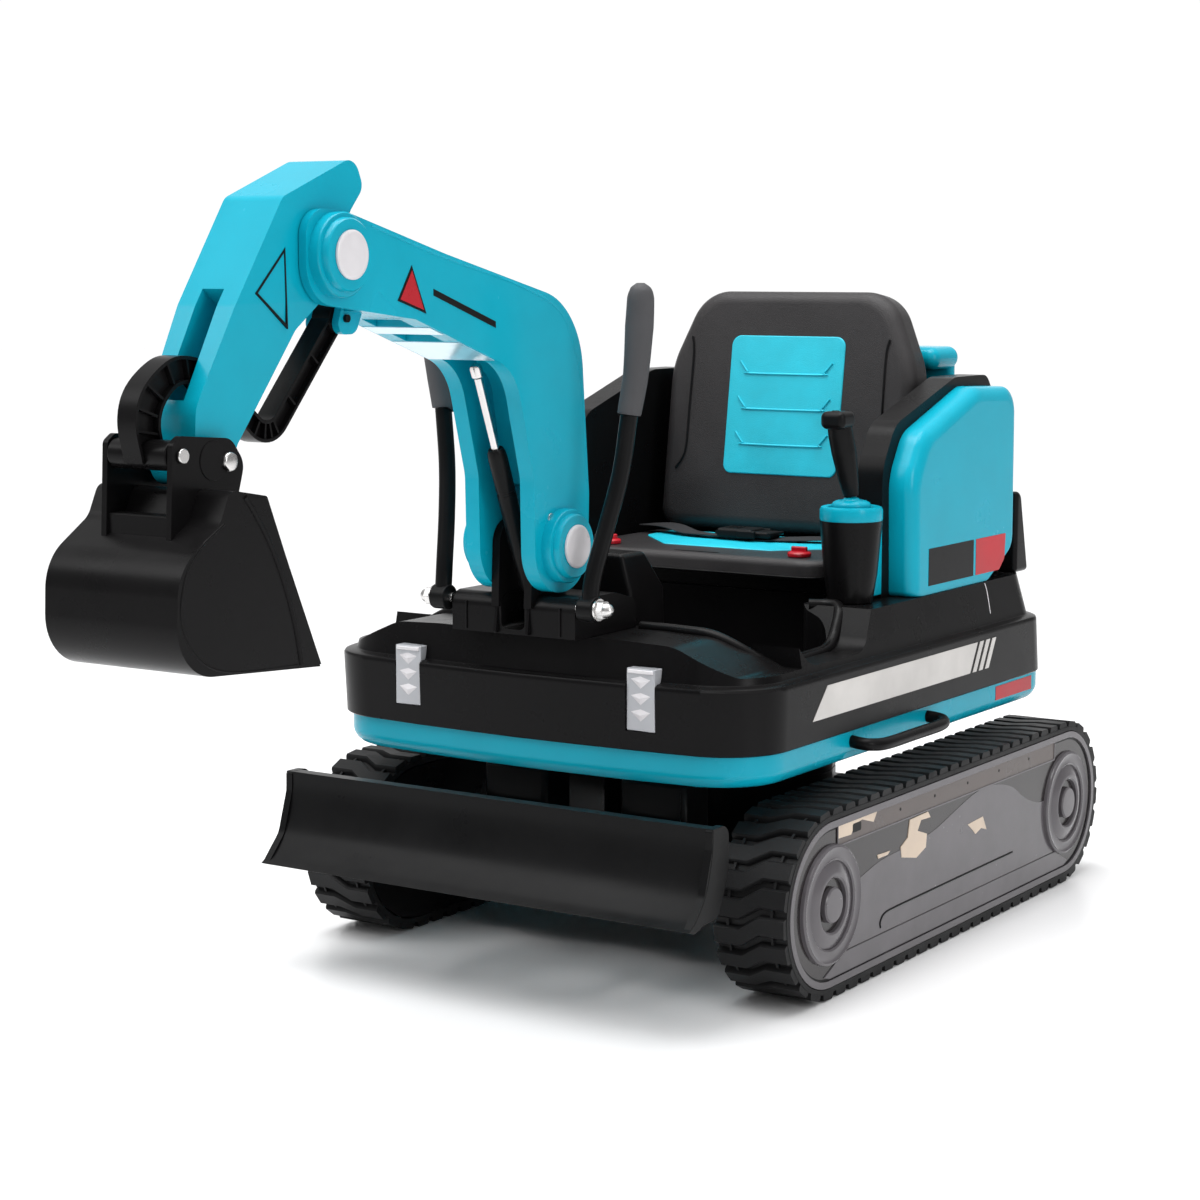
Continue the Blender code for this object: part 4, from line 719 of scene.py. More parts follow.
def underframe():
    """A plated bar with its nuts across the legs of the chassis."""
    bar = rod("bar", "X", (0, -0.262, 0.15), 0.005, -0.15, 0.15, 32)
    nuts = [rod("nut", "X", (0, -0.262, 0.15), 0.0095, *span(sign, a, a + 0.006), 6)
            for _, sign in SIDES for a in (0.0385, 0.1265, 0.141)]
    show(merged("bar", softened(bar, 0.001, 2), *[softened(n, 0.0006, 2) for n in nuts]), "leg_bar", "undercarriage",
         "steel", STEEL)


# ---------------------------------------------------------------- upper body
def plan(half_width, front, rear, z, bow=0.016, front_radius=0.085, rear_radius=0.05):
    corner = front + bow
    bends = [half_width * u for u in (-0.5, -0.25, 0, 0.25, 0.5)]
    outline = filleted([(half_width, corner, front_radius), (half_width, rear, rear_radius),
                        (-half_width, rear, rear_radius), (-half_width, corner, front_radius),
                        *[(x, front + bow * 0.9 * abs(x / half_width) ** 1.6, 0) for x in bends]], 16)
    return [(x, y, z) for x, y in outline]


def body_shell():
    wide, front, rear = BODY_HALF_WIDTH, BODY_FRONT, BODY_REAR
    bottom = PAN_TOP + GAP
    levels = [(0.0032, bottom, 0.0), (0.002, bottom + 0.0012, 0.0), (0.0, BELT_LINE - 0.004, 0.012),
              (0.0, BELT_LINE - 0.001, 0.0125), (0.0012, BELT_LINE + 0.0012, 0.013),
              (0.004, BELT_LINE + 0.0024, 0.014),
              (0.0085, BELT_LINE + 0.0028, 0.015), (0.0105, BELT_LINE + 0.004, 0.016),
              (0.0115, BELT_LINE + 0.008, 0.017),
              (0.019, SILL, 0.028)]
    shell = loft("body_shell", [plan(wide - inset, front + inset, rear - back, z) for inset, z, back in levels])
    over = SILL + 0.01
    step = slab("step", filleted([(-0.262, over, 0), (-0.222, DECK, 0.035), (-0.106, DECK, 0.03),
                                  (-0.072, over, 0)], 12),
                "YZ", -0.4, 0.4)
    brow = filleted([(-0.3, over, 0), (-0.3, DECK, 0), (-0.23, DECK, 0.02), (-0.166, HUMP_TOP - 0.0025, 0.06),
                     (-0.11, HUMP_TOP, 0.05), (0.11, HUMP_TOP, 0.05), (0.166, HUMP_TOP - 0.0025, 0.06),
                     (0.23, DECK, 0.02), (0.3, DECK, 0), (0.3, over, 0)], 12)
    brow = slab("brow", brow, "XZ", -0.42, -0.238)
    half, ledge = FOOTWELL_HALF_WIDTH, FOOTWELL_HALF_WIDTH - 0.046
    well = slab("well", filleted([(-half, FOOTWELL_FRONT, 0.045), (half, FOOTWELL_FRONT, 0.045), (half, -0.092, 0.03),
                                  (ledge, -0.08, 0.015), (ledge, FOOTWELL_REAR, 0.01), (-ledge, FOOTWELL_REAR, 0.01),
                                  (-ledge, -0.08, 0.015), (-half, -0.092, 0.03)], 12), "XY", FLOOR, SILL + 0.05)
    shell = cut(shell, step, brow)
    under = FLOOR - WALL
    inside = wide - 0.012 - WALL * 2
    hollow = loft("hollow", [plan(inside, front + 0.026, rear - 0.042, z, front_radius=0.075) for z in (0.2, under)])
    nose = block("nose", (-inside + 0.115, front + 0.036, 0.2), (inside - 0.115, FOOTWELL_FRONT - WALL, DECK - WALL))
    rear_bay = block("rear_bay", (-inside + 0.01, FOOTWELL_REAR + WALL, 0.2),
                     (inside - 0.01, rear - 0.044, SILL - WALL))
    shell = cut(shell, well, hollow, nose, rear_bay)
    pockets = [block("pocket", (sign * HEADLIGHT_X - 0.0164, front - 0.02, 0.2676),
                     (sign * HEADLIGHT_X + 0.0164, LAMP_BACK, 0.3294)) for _, sign in SIDES]
    shell = cut(shell, *pockets)
    shell = softened(shell, 0.003, 4, 32)
    show(shell, "body_tub", "upper", "black_body", BLACK, "body_shell", smooth=30)
    rim = [(0.08, -0.262, 0.3535), (0.13, -0.26, 0.3525), (0.16, -0.257, 0.35), (0.185, -0.252, 0.34),
           (0.203, -0.243, 0.3285), (0.2125, -0.225, 0.3225), (0.2125, -0.15, 0.3215), (0.2125, -0.118, 0.324),
           (0.211, -0.1, 0.333), (0.209, -0.088, 0.346), (0.206, -0.078, 0.357), (0.198, -0.07, 0.362),
           (0.185, -0.07, 0.362), (0.17, -0.078, 0.362)]
    show_both(tube("rim", rim, 0.0062, 8, 8), "footwell_left_rim", "upper", "black_body", BLACK, smooth=60)


def base_pan():
    wide, front, rear = BODY_HALF_WIDTH - PAN_INSET, BODY_FRONT + PAN_INSET, BODY_REAR + 0.006
    levels = [(0.016, 0.0), (0.0105, 0.0008), (0.006, 0.003), (0.0028, 0.0065), (0.0008, 0.011), (0, 0.015),
              (0, PAN_TOP - PAN_BOTTOM)]
    tray = loft("base_pan", [plan(wide - inset, front + inset, rear - inset, PAN_BOTTOM + z) for inset, z in levels])
    boss = rod("boss", "Z", (0, 0.03, 0), 0.124, 0.1854, PAN_BOTTOM + 0.003, 96)
    notch = [slab("notch", filleted([(-0.152, 0.226, 0.006), (0.044, 0.226, 0.006), (0.052, 0.2, 0),
                                     (-0.16, 0.2, 0)], 6),
                  "YZ", *span(sign, wide - 0.005, wide + 0.02)) for _, sign in SIDES]
    tray = cut(tray, *notch)
    show(merged("pan", softened(tray, 0.0012, 2, 45), boss), "pan_tray", "upper", "turquoise", TURQUOISE, "base_pan")


def surround_profile():
    return [(0.006, 0.5, 0.055), (0.034, 0.545, 0.04), (0.178, 0.59, 0.05), (0.262, 0.59, 0.022)]


def seat_surround():
    foot = SILL + GAP
    profile = filleted([(0.006, foot, 0), *surround_profile(), (SURROUND_REAR, 0.56, 0.02),
                        (SURROUND_REAR, foot, 0)], 14)
    rests = [softened(slab("rest", profile, "YZ", *sorted((sign * ARMREST_X[0], sign * ARMREST_X[1]))), 0.007, 6, 50)
             for _, sign in SIDES]
    wall = softened(block("wall", (-ARMREST_X[0] - 0.01, SURROUND_REAR - 0.024, foot),
                          (ARMREST_X[0] + 0.01, SURROUND_REAR - 0.001, 0.58)), 0.004, 3)
    show(merged("surround", wall, *rests), "arm_rests", "upper", "black_body", BLACK, "seat_surround")


def side_hood():
    foot = SILL + GAP
    corners = [(0.0235, foot, 0.006), *[(y + 0.014, z - 0.01, r) for y, z, r in surround_profile()[:2]],
               (0.182, 0.58, 0.05), (SURROUND_REAR - 0.002, 0.5765, 0.024),
               (SURROUND_REAR, 0.398, 0.022), (0.215, foot, 0.022)]
    outline = filleted(corners, 14)
    low, high = ARMREST_X[1] + GAP, HOOD_OUTER_X
    rings = []
    flat = 0.0165
    for i in range(13):
        angle = math.pi / 2 * i / 12
        rings.append((flat * (1 - math.cos(angle)), high - 0.0135 * (1 - math.sin(angle))))
    rows = [[(low, y, z) for y, z in outline]]
    for inset, x in rings:
        drawn = offset_scale(outline, inset)
        rows.append([(x, y, max(z, foot) if inset else z) for y, z in drawn])
    rows = [[(x, y, foot + (z - min(p[2] for p in row)) * (max(q[1] for q in outline) - inset_top - foot)
              / (max(p[2] for p in row) - min(p[2] for p in row))) for x, y, z in row]
            for row, inset_top in zip(rows, [0, *[inset for inset, _ in rings]])]
    show_both(loft("hood", rows), "hood_left_shell", "upper", "turquoise", TURQUOISE, "side_hood_left", smooth=40)
    sign_plate = [(0.058, 0.372), (0.17, 0.372), (0.17, 0.412), (0.058, 0.412)]
    decal("hood_left_plate", "upper", "dark_parts", LABEL, sign_plate, "YZ", HOOD_OUTER_X, both=True)
    red = filleted([(0.1765, 0.372, 0), (0.238, 0.372, 0.006), (0.252, 0.384, 0.006), (0.254, 0.412, 0.001),
                    (0.1765, 0.412, 0)], 5)
    decal("hood_left_red_plate", "upper", "knob", RED, red, "YZ", HOOD_OUTER_X, both=True)


def rear_pieces():
    foot = SILL + GAP
    rear = SURROUND_REAR + GAP
    half = BODY_HALF_WIDTH - 0.022
    profile = filleted([(rear, foot, 0), (BODY_REAR - 0.029, foot, 0), (rear + 0.012, 0.456, 0.006),
                        (rear, 0.456, 0)], 6)
    show(softened(slab("rear_cover", profile, "YZ", -half, half), 0.005, 5, 60), "rear_apron", "upper",
         "black_body", BLACK,
         "rear_cover")
    hood = softened(block("rear_hood", (-0.16, 0.236, 0.5942), (0.16, SURROUND_REAR + 0.016, 0.62)), 0.0125, 8)
    lip = softened(block("lip", (-0.155, SURROUND_REAR + GAP, 0.47), (0.155, SURROUND_REAR + 0.014, 0.61)), 0.006, 5)
    show(merged("hood", hood, lip), "rear_hood_shell", "upper", "turquoise", TURQUOISE, "rear_hood")
    slats = [softened(block("slat", (-0.12, SURROUND_REAR + 0.0135, z), (0.12, SURROUND_REAR + 0.0152, z + 0.006)),
                      0.0007, 2)
             for z in (0.49, 0.505, 0.52, 0.535)]
    show(merged("slats", *slats), "rear_vents", "upper", "dark_parts", DARK)


def seat():
    half = SEAT_HALF_WIDTH
    front = filleted([(half, SEAT_FRONT, 0.038), (half, SEAT_DEPTH, 0.01), (-half, SEAT_DEPTH, 0.01),
                      (-half, SEAT_FRONT, 0.038)], 12)
    base = cushion("seat_base", front, 0.022, 0.0085, 0.0006, back_edge=0.004,
                   place=Matrix.Translation((0, 0, SEAT_TOP - 0.022)))
    plinth = block("plinth", (-half + 0.012, 0.004, SILL + GAP), (half - 0.012, SEAT_DEPTH - 0.005, SEAT_TOP - 0.012))
    show(base, "seat_cushion", "upper", "seat", LEATHER, "seat_base", smooth=60)
    show(plinth, "seat_plinth", "upper", "dark_parts", DARK)
    line = tube("welt", [(x, y, SEAT_TOP - 0.0196) for x, y in offset_scale(front, 0.0006)], 0.0013, 1, 4,
                cyclic=True)
    show(line, "seat_welt", "upper", "black_body", PAINTED)
    inset = filleted([(-0.068, 0.02, 0.01), (0.068, 0.02, 0.01), (0.132, 0.086, 0.018), (0.136, 0.15, 0.015),
                      (-0.136, 0.15, 0.015), (-0.132, 0.086, 0.018)], 10)
    pad = cushion("inset", inset, 0.003, 0.0012, 0.0005, steps=4, back_edge=0.0002,
                  place=Matrix.Translation((0, 0, SEAT_TOP - 0.0016)))
    show(pad, "seat_inset", "upper", "turquoise", SEAT_BLUE, smooth=60)
    slot = slab("slot", filleted([(-0.028, -0.0245, 0.002), (0.028, -0.0245, 0.002), (0.028, -0.0195, 0.002),
                                  (-0.028, -0.0195, 0.002)], 4), "XY", SEAT_TOP - 0.003, SEAT_TOP - 0.0002)
    show(slot, "seat_slot", "upper", "dark_parts", LABEL)
    bottom = SEAT_TOP + 0.006
    lean = (Matrix.Translation((0, 0.15, bottom)) @ Matrix.Rotation(-BACK_RECLINE, 4, "X")
            @ Matrix.Translation((0, 0, -bottom)))
    upright = lean @ Matrix(((1, 0, 0, 0), (0, 0, -1, BACK_THICKNESS), (0, 1, 0, 0), (0, 0, 0, 1)))
    outline = filleted([(-BACK_HALF_WIDTH, bottom, 0.02), (BACK_HALF_WIDTH, bottom, 0.02),
                        (BACK_HALF_WIDTH, 0.6, 0.1), (0.122, BACK_TOP, 0.05), (-0.122, BACK_TOP, 0.05),
                        (-BACK_HALF_WIDTH, 0.6, 0.1)], 14)
    back = cushion("seat_back", outline, BACK_THICKNESS, 0.016, 0.001, back_edge=0.008, place=upright)
    show(back, "seat_back_pad", "upper", "seat", LEATHER, "seat_back", smooth=60)

    def on_back(x, z, off):
        return lean @ Vector((x, -off, z))
    seams = []
    for side in (1, -1):
        for path in ([(0.139, 0.477), (0.131, 0.488), (0.1265, 0.504), (0.126, 0.55), (0.1255, 0.6),
                      (0.1262, 0.62), (0.129, 0.632)],):
            seams.append(tube("seam", [on_back(side * x, z, 0.0002) for x, z in path], 0.0011, 6, 4))
    show(merged("seams", *seams), "seat_back_seams", "upper", "seat", LABEL)
    pad_line = filleted([(-0.074, 0.474, 0.01), (0.074, 0.474, 0.01), (0.074, 0.634, 0.012),
                         (-0.074, 0.634, 0.012)], 10)
    out = upright @ Matrix.Translation((0, 0, BACK_THICKNESS - 0.0016))
    show(cushion("pad", pad_line, 0.0036, 0.0014, 0.0008, steps=5, back_edge=0.0002, place=out), "seat_back_inset",
         "upper",
         "turquoise", SEAT_BLUE, smooth=60)
    lines = []
    for z in (0.508, 0.549, 0.59):
        path = [(-0.06, z + 0.014), (-0.05, z + 0.002), (-0.046, z), (0.046, z), (0.05, z + 0.002), (0.06, z + 0.014)]
        lines.append(tube("line", [on_back(x, h, 0.0021) for x, h in path], 0.0013, 3, 4))
    show(merged("lines", *lines), "seat_back_lines", "upper", "turquoise", SEAT_BLUE)
    for side, sign in SIDES:
        place = (sign * 0.121, -0.01, SEAT_TOP + GAP)
        knob = turned("knob", [(0, 0), (0.0125, 0), (0.0128, 0.001), (0.0128, 0.0032), (0.0118, 0.0046),
                               (0.0095, 0.0055),
                               (0, 0.0058)], place, steps=64)
        grip = softened(block("grip", (place[0] - 0.0095, place[1] - 0.0022, place[2] + 0.004),
                              (place[0] + 0.0095, place[1] + 0.0022, place[2] + 0.0105)), 0.0016, 4)
        show(merged("knob", knob, grip), f"seat_knob_{side}_turn", f"seat_knob_{side}", "knob", RED,
             f"seat_knob_{side}")


def lap_belt():
    route = smooth_path([(-0.158, 0.128, 0.006), (-0.12, 0.116, 0.0062), (-0.08, 0.098, 0.0035),
                         (-0.035, 0.092, 0.001),
                         (0.01, 0.094, 0.001), (0.055, 0.102, 0.0014), (0.1, 0.118, 0.0042), (0.15, 0.13, 0.006)], 14)
    rings = []
    for i, point in enumerate(route):
        along = (route[min(i + 1, len(route) - 1)] - route[max(i - 1, 0)]).normalized()
        tilt = 0.16 * math.sin(i * 0.11)
        across = (Vector((-along.y, along.x, 0)).normalized() + Vector((0, 0, tilt * 0.4))).normalized() * 0.0125
        up = Vector((0, 0, 0.0008))
        middle = point + Vector((0, 0, SEAT_TOP + GAP + 0.0014 + 0.0018 * abs(math.sin(i * 0.11))))
        rings.append([middle - across - up * 0.5, middle - across * 0.94 - up, middle + across * 0.94 - up,
                      middle + across - up * 0.5, middle + across + up * 0.5, middle + across * 0.94 + up,
                      middle - across * 0.94 + up, middle - across + up * 0.5])
    show(loft("strap", rings), "lap_strap_webbing", "upper", "strap", STRAP, "lap_strap", smooth=60)
    z = SEAT_TOP + 0.0042
    body = softened(block("body", (-0.034, 0.076, z), (0.012, 0.11, z + 0.0108)), 0.0035, 5)
    tongue = softened(block("tongue", (0.01, 0.08, z + 0.001), (0.034, 0.106, z + 0.0085)), 0.0028, 4)
    wing = [softened(block("wing", (-0.006, y, z + 0.001), (0.018, y + 0.004, z + 0.0095)), 0.0015,
                     3) for y in (0.0728, 0.1092)]
    bars = [rod("bar", "Y", (x, 0, z + 0.006), 0.0022, 0.077, 0.109, 24) for x in (-0.0335, 0.0335)]
    ridge = [softened(block("ridge", (x, 0.084, z + 0.01), (x + 0.0016, 0.102, z + 0.0114)), 0.0004, 2)
             for x in (-0.026, -0.021, -0.016, -0.011)]
    show(merged("buckle", body, tongue, *wing, *bars, *ridge), "belt_buckle_clip", "upper", "dark_parts", DARK,
         "belt_buckle")


def controls():
    x, y = CONSOLE
    foot = SILL + GAP
    cup = turned("cup", [(0.0, foot), (0.0225, foot), (0.0235, foot + 0.001), (0.028, foot + 0.03),
                         (0.0315, CONSOLE_TOP - 0.03), (0.033, CONSOLE_TOP - 0.016), (0.033, CONSOLE_TOP - 0.015),
                         (0.0226, CONSOLE_TOP - 0.015), (0.0226, CONSOLE_TOP - 0.018), (0.0, CONSOLE_TOP - 0.018)],
                 (x, y, 0), steps=96)
    neck = softened(block("neck", (x - 0.015, y + 0.02, foot), (x + 0.011, 0.0055, CONSOLE_TOP - 0.012)), 0.004, 5)
    show_both(merged("console", cup, neck), "console_left_cup", "upper", "black_body", BLACK, "console_left")
    ring = turned("ring", [(0.0226, CONSOLE_TOP - 0.016), (0.0322, CONSOLE_TOP - 0.016), (0.033, CONSOLE_TOP - 0.013),
                           (0.033, CONSOLE_TOP - 0.004), (0.0315, CONSOLE_TOP - 0.001), (0.028, CONSOLE_TOP),
                           (0.0245, CONSOLE_TOP - 0.001), (0.0226, CONSOLE_TOP - 0.004)], (x, y, 0), steps=96)
    show_both(ring, "console_left_ring", "upper", "turquoise", TURQUOISE)
    cheek = softened(block("cheek", (x + 0.0112, y + 0.024, foot + 0.004),
                           (x + 0.014, 0.0045, CONSOLE_TOP - 0.016)), 0.0012, 3)
    show_both(cheek, "console_left_cheek", "upper", "turquoise", TURQUOISE)
    pivot = CONSOLE_TOP - 0.002
    collar = turned("collar", [(0.0, pivot - 0.012), (0.01, pivot - 0.012), (0.018, pivot - 0.006),
                               (0.0204, pivot + 0.0006),
                               (0.0204, pivot + 0.0034), (0.019, pivot + 0.0058), (0.016, pivot + 0.0074),
                               (0.0128, pivot + 0.0082),
                               *[(0.0125 * math.cos(math.radians(a)), pivot + 0.0125 * math.sin(math.radians(a)))
                                 for a in (25, 35, 45, 55, 65, 75, 85)], (0, pivot + 0.0125)], (x, y, 0), steps=72)
    show_both(collar, "joystick_collar_left_dome", "joystick_gimbal_left", "turquoise", TURQUOISE,
              "joystick_collar_left",
              smooth=50)
    bottom = pivot + 0.0125 + GAP
    stick = tube("stick", [(x, y, bottom), (x - 0.001, y - 0.002, bottom + 0.01),
                           (x - 0.002, y - 0.005, bottom + 0.022),
                           (x - 0.004, y - 0.01, bottom + 0.045), (x - 0.0055, y - 0.015, bottom + 0.064),
                           (x - 0.006, y - 0.018, bottom + 0.076)], 0.0105, 8, 10,
                           [0.76, 0.92, 1.04, 1.24, 1.24, 1.18])
    head = softened(block("head", (x - 0.02, y - 0.036, bottom + 0.07), (x + 0.008, y - 0.006, bottom + 0.0885)),
                    0.0066, 7)
    button = turned("button", [(0, 0), (0.0042, 0), (0.0042, 0.0014), (0.0032, 0.0022), (0, 0.0024)],
                    (x - 0.006, y - 0.026, bottom + 0.0872), steps=32)
    show_both(merged("stick", stick, head), "joystick_left_grip", "joystick_left", "dark_parts", DARK,
              "joystick_left",
              smooth=50)
    show_both(button, "joystick_left_button", "joystick_left", "knob", BLACK)


def travel_levers():
    y, z = LEVER_PIVOT
    route = [(LEVER_X, y, z), (LEVER_X + 0.001, y + 0.004, z + 0.03), (LEVER_X + 0.008, y + 0.018, z + 0.08),
             (LEVER_X + 0.016, y + 0.03, z + 0.13), (LEVER_X + 0.023, y + 0.034, z + 0.186)]
    top = Vector(route[-1])
    bar = tube("lever", route, 0.0085, 12, 10)
    eye = softened(rod("eye", "X", (0, y, z), 0.0125, LEVER_X - 0.009, LEVER_X + 0.009, 64), 0.0012, 3)
    show_both(merged("lever", bar, eye), "lever_left_bar", "lever_left", "black_body", PAINTED, "lever_left",
              smooth=50)
    along = (top - Vector(route[-2])).normalized()
    path = [top + along * 0.0006, top + along * 0.006, top + along * 0.04 + Vector((0.002, -0.002, 0)),
            top + Vector((0.012, -0.001, 0.085)), top + Vector((0.016, -0.005, 0.112)),
            top + Vector((0.0165, -0.006, 0.1215)),
            top + Vector((0.0166, -0.0062, 0.1262))]
    grip = tube("grip", path, 0.013, 10, 12, [0.86, 0.9, 0.95, 1.06, 1.0, 0.76, 0.3])
    show_both(grip, "lever_grip_left_rubber", "lever_left", "grip", GRIP, "lever_grip_left", smooth=60)
    shank = turned("pin", [(0, -0.0137), (0.005, -0.0137), (0.005, 0.0102), (0, 0.0102)], (LEVER_X, y, z), "X", 48)
    washer = turned("washer", [(0, 0.0098), (0.0108, 0.0098), (0.0108, 0.0114), (0, 0.0114)], (LEVER_X, y, z), "X",
                    48)
    nut = softened(rod("nut", "X", (0, y, z), 0.0096, LEVER_X + 0.0113, LEVER_X + 0.0185, 6), 0.0008, 3)
    dome = turned("dome", [(0, 0.018), (0.0076, 0.018), (0.0072, 0.0205), (0.006, 0.0232), (0.004, 0.0254),
                           (0.0018, 0.0266), (0, 0.0269)], (LEVER_X, y, z), "X", 48)
    show_both(merged("pin", shank, washer, nut, dome), "lever_pin_left_nut", "upper", "steel", STEEL,
              "lever_pin_left",
              smooth=40)


def headlights():
    back = LAMP_BACK
    for side, sign in SIDES:
        x = sign * HEADLIGHT_X
        lens = softened(block("lens", (x - 0.016, back - 0.018, 0.268), (x + 0.016, back - 0.0004, 0.329)), 0.001, 3)
        ledge = softened(block("ledge", (x - 0.0145, back - 0.0196, 0.324), (x + 0.0145, back - 0.013, 0.328)),
                         0.0012, 3)
        show(lens, f"headlight_{side}_lens", "upper", "lens", LENS, f"headlight_{side}")
        show(ledge, f"headlight_{side}_ledge", "upper", "cap", PALE)
        gems = []
        for z in (0.284, 0.3, 0.316):
            bm = bmesh.new()
            ring = [bm.verts.new((x + u, back - 0.0177, z + v)) for u,
                    v in ((-0.0125, 0.003), (0, -0.0072), (0.0125, 0.003), (0, 0.0064))]
            tip = bm.verts.new((x, back - 0.0202, z))
            for i in range(4):
                bm.faces.new((ring[i], ring[(i + 1) % 4], tip))
            bm.faces.new(ring[::-1])
            gems.append(object_from(bm, "gem"))
        show(merged("gems", *gems), f"headlight_{side}_gems", "upper", "cap", PALE, smooth=5)


def dash_and_handles():
    dash = loft("dash", [[(x, y, z) for x, y in ((-half, front), (half, front), (half, rear), (-half, rear))]
                         for z, half, front, rear in ((FLOOR + GAP, 0.058, -0.249, -0.175),
                                                      (0.385, 0.058, -0.249, -0.182),
                                                      (0.423, 0.048, -0.249, -0.205))])
    show(softened(dash, 0.005, 5), "dash_housing", "upper", "black_body", BLACK, "dash_panel")
    slope = math.atan2(0.023, 0.038)
    buttons = [turned("button", [(0, 0), (0.0085, 0), (0.0085, 0.002), (0.0072, 0.003), (0, 0.0032)],
                      (x, -0.1935, 0.404), steps=40, turn=Matrix.Rotation(-(math.pi / 2 - slope), 4, "X"))
               for x in (-0.026, 0.026)]
    show(merged("buttons", *buttons), "dash_buttons", "upper", "knob", DARK)
    side = BODY_HALF_WIDTH - PAN_INSET
    loop = [(side - 0.004, -0.14, 0.2365), (side + 0.01, -0.141, 0.235), (side + 0.02, -0.136, 0.234),
            (side + 0.027, -0.115, 0.233), (side + 0.0275, -0.055, 0.233), (side + 0.027, 0.008, 0.233),
            (side + 0.02, 0.029, 0.234), (side + 0.01, 0.0335, 0.235), (side - 0.004, 0.032, 0.2365)]
    rail = tube("rail", loop, 0.0064, 10, 8)
    show_both(rail, "step_handle_left_rail", "upper", "black_body", BLACK, "step_handle_left", smooth=60)


def boom_bracket():
    y, z = BOOM_PIVOT
    foot = HUMP_TOP + GAP
    profile = filleted([(-0.372, foot, 0), (-0.262, foot, 0), (-0.262, 0.382, 0.012), (-0.3, 0.392, 0.02),
                        (-0.372, 0.392, 0.014)], 10)
    housing = slab("boom_bracket", profile, "YZ", -0.0735, 0.0735)
    slot = slab("slot", filleted([(-0.014, foot + 0.005, 0.006), (0.014, foot + 0.005, 0.006), (0.014, 0.45, 0),
                                  (-0.014, 0.45, 0)], 8), "XZ", -0.4, -0.3)
    housing = cut(softened(housing, 0.005, 5, 50), slot)
    ear = filleted([(y - 0.03, 0.38, 0), (y + 0.034, 0.38, 0), (y + 0.026, z + 0.024, 0.024),
                    (y - 0.026, z + 0.024, 0.024)], 12)
    parts = []
    for _, sign in SIDES:
        parts.append(softened(slab("ear", ear, "YZ", *span(sign, 0.015, 0.0238)), 0.0015, 3, 50))
        parts.append(rod("trunnion", "X", (0, y, z), 0.012, *span(sign, 0.017, BOOM_HALF + 0.008), 48))
        parts.append(softened(slab("fin", filleted([(-0.3765, foot + 0.001, 0.001), (-0.368, foot + 0.001, 0),
                                                    (-0.36, 0.4, 0.002),
                                                    (-0.37, 0.3985, 0.01)], 6), "YZ", *span(sign, 0.0175, 0.0205)),
                                                    0.0008, 2))
        parts.append(softened(block("rib", (sign * 0.056 - 0.001, -0.3735, foot + 0.002),
                                    (sign * 0.056 + 0.001, -0.37, 0.383)), 0.0006, 2))
    show(merged("bracket", housing, *parts), "boom_foot_housing", "upper", "black_body", BLACK, "boom_bracket")
    # A dark red-brown sheet at the back of the slot: painted shadow inside the slot.
    slot_shade_sheet = block("slot_shade_sheet", (-0.0132, -0.3025, foot + 0.006), (0.0132, -0.3003, 0.388))
    show(slot_shade_sheet, "boom_foot_slot_painted_shadow", "upper", "dark_parts",
         surface("slot_shadow", (0.035, 0.006, 0.006), 0.5, bump=0.02))


def side_marks():
    """Plain stripes and blocks on the body's sides, with no lettering."""
    def tub_side(_, z):
        return BODY_HALF_WIDTH - 0.002 + 0.002 * (z - (PAN_TOP + GAP)) / (BELT_LINE - 0.004 - PAN_TOP - GAP)
    bars = [skin("bar", [(-0.235, 0.2705), (0.124, 0.2705), (0.14, 0.303), (-0.207, 0.303)], tub_side)]
    for start in (0.1305, 0.1465, 0.1625):
        bars.append(skin("bar", [(start, 0.2705), (start + 0.0095, 0.2705), (start + 0.0255, 0.303),
                                 (start + 0.016, 0.303)],
                         tub_side))
    show_both(merged("stripe", *bars), "body_left_stripe", "upper", "cap", SILVER)
    red = skin("red", [(0.205, 0.2285), (0.302, 0.2285), (0.302, 0.244), (0.205, 0.244)], lambda y,
               z: BODY_HALF_WIDTH - PAN_INSET)
    show_both(red, "pan_left_red_block", "upper", "knob", RED)
    seam = [(0, 0.2, 0.327), (0, 0.199, 0.352), (0, 0.196, 0.361)]
    seam = tube("seam", [(BODY_HALF_WIDTH - 0.0116 - 0.0075 * (zz - 0.32) / 0.0425 - 0.0002, yy, zz) for _, yy,
                         zz in seam],
                0.0008, 6, 3)
    show_both(seam, "body_left_seam", "upper", "dark_parts", PALE)


# ---------------------------------------------------------------- arm
def underside_z(y):
    """The height of the boom's straight underside."""
    return UNDERSIDE[1] + (y - UNDERSIDE[0]) * UNDERSIDE_SLOPE


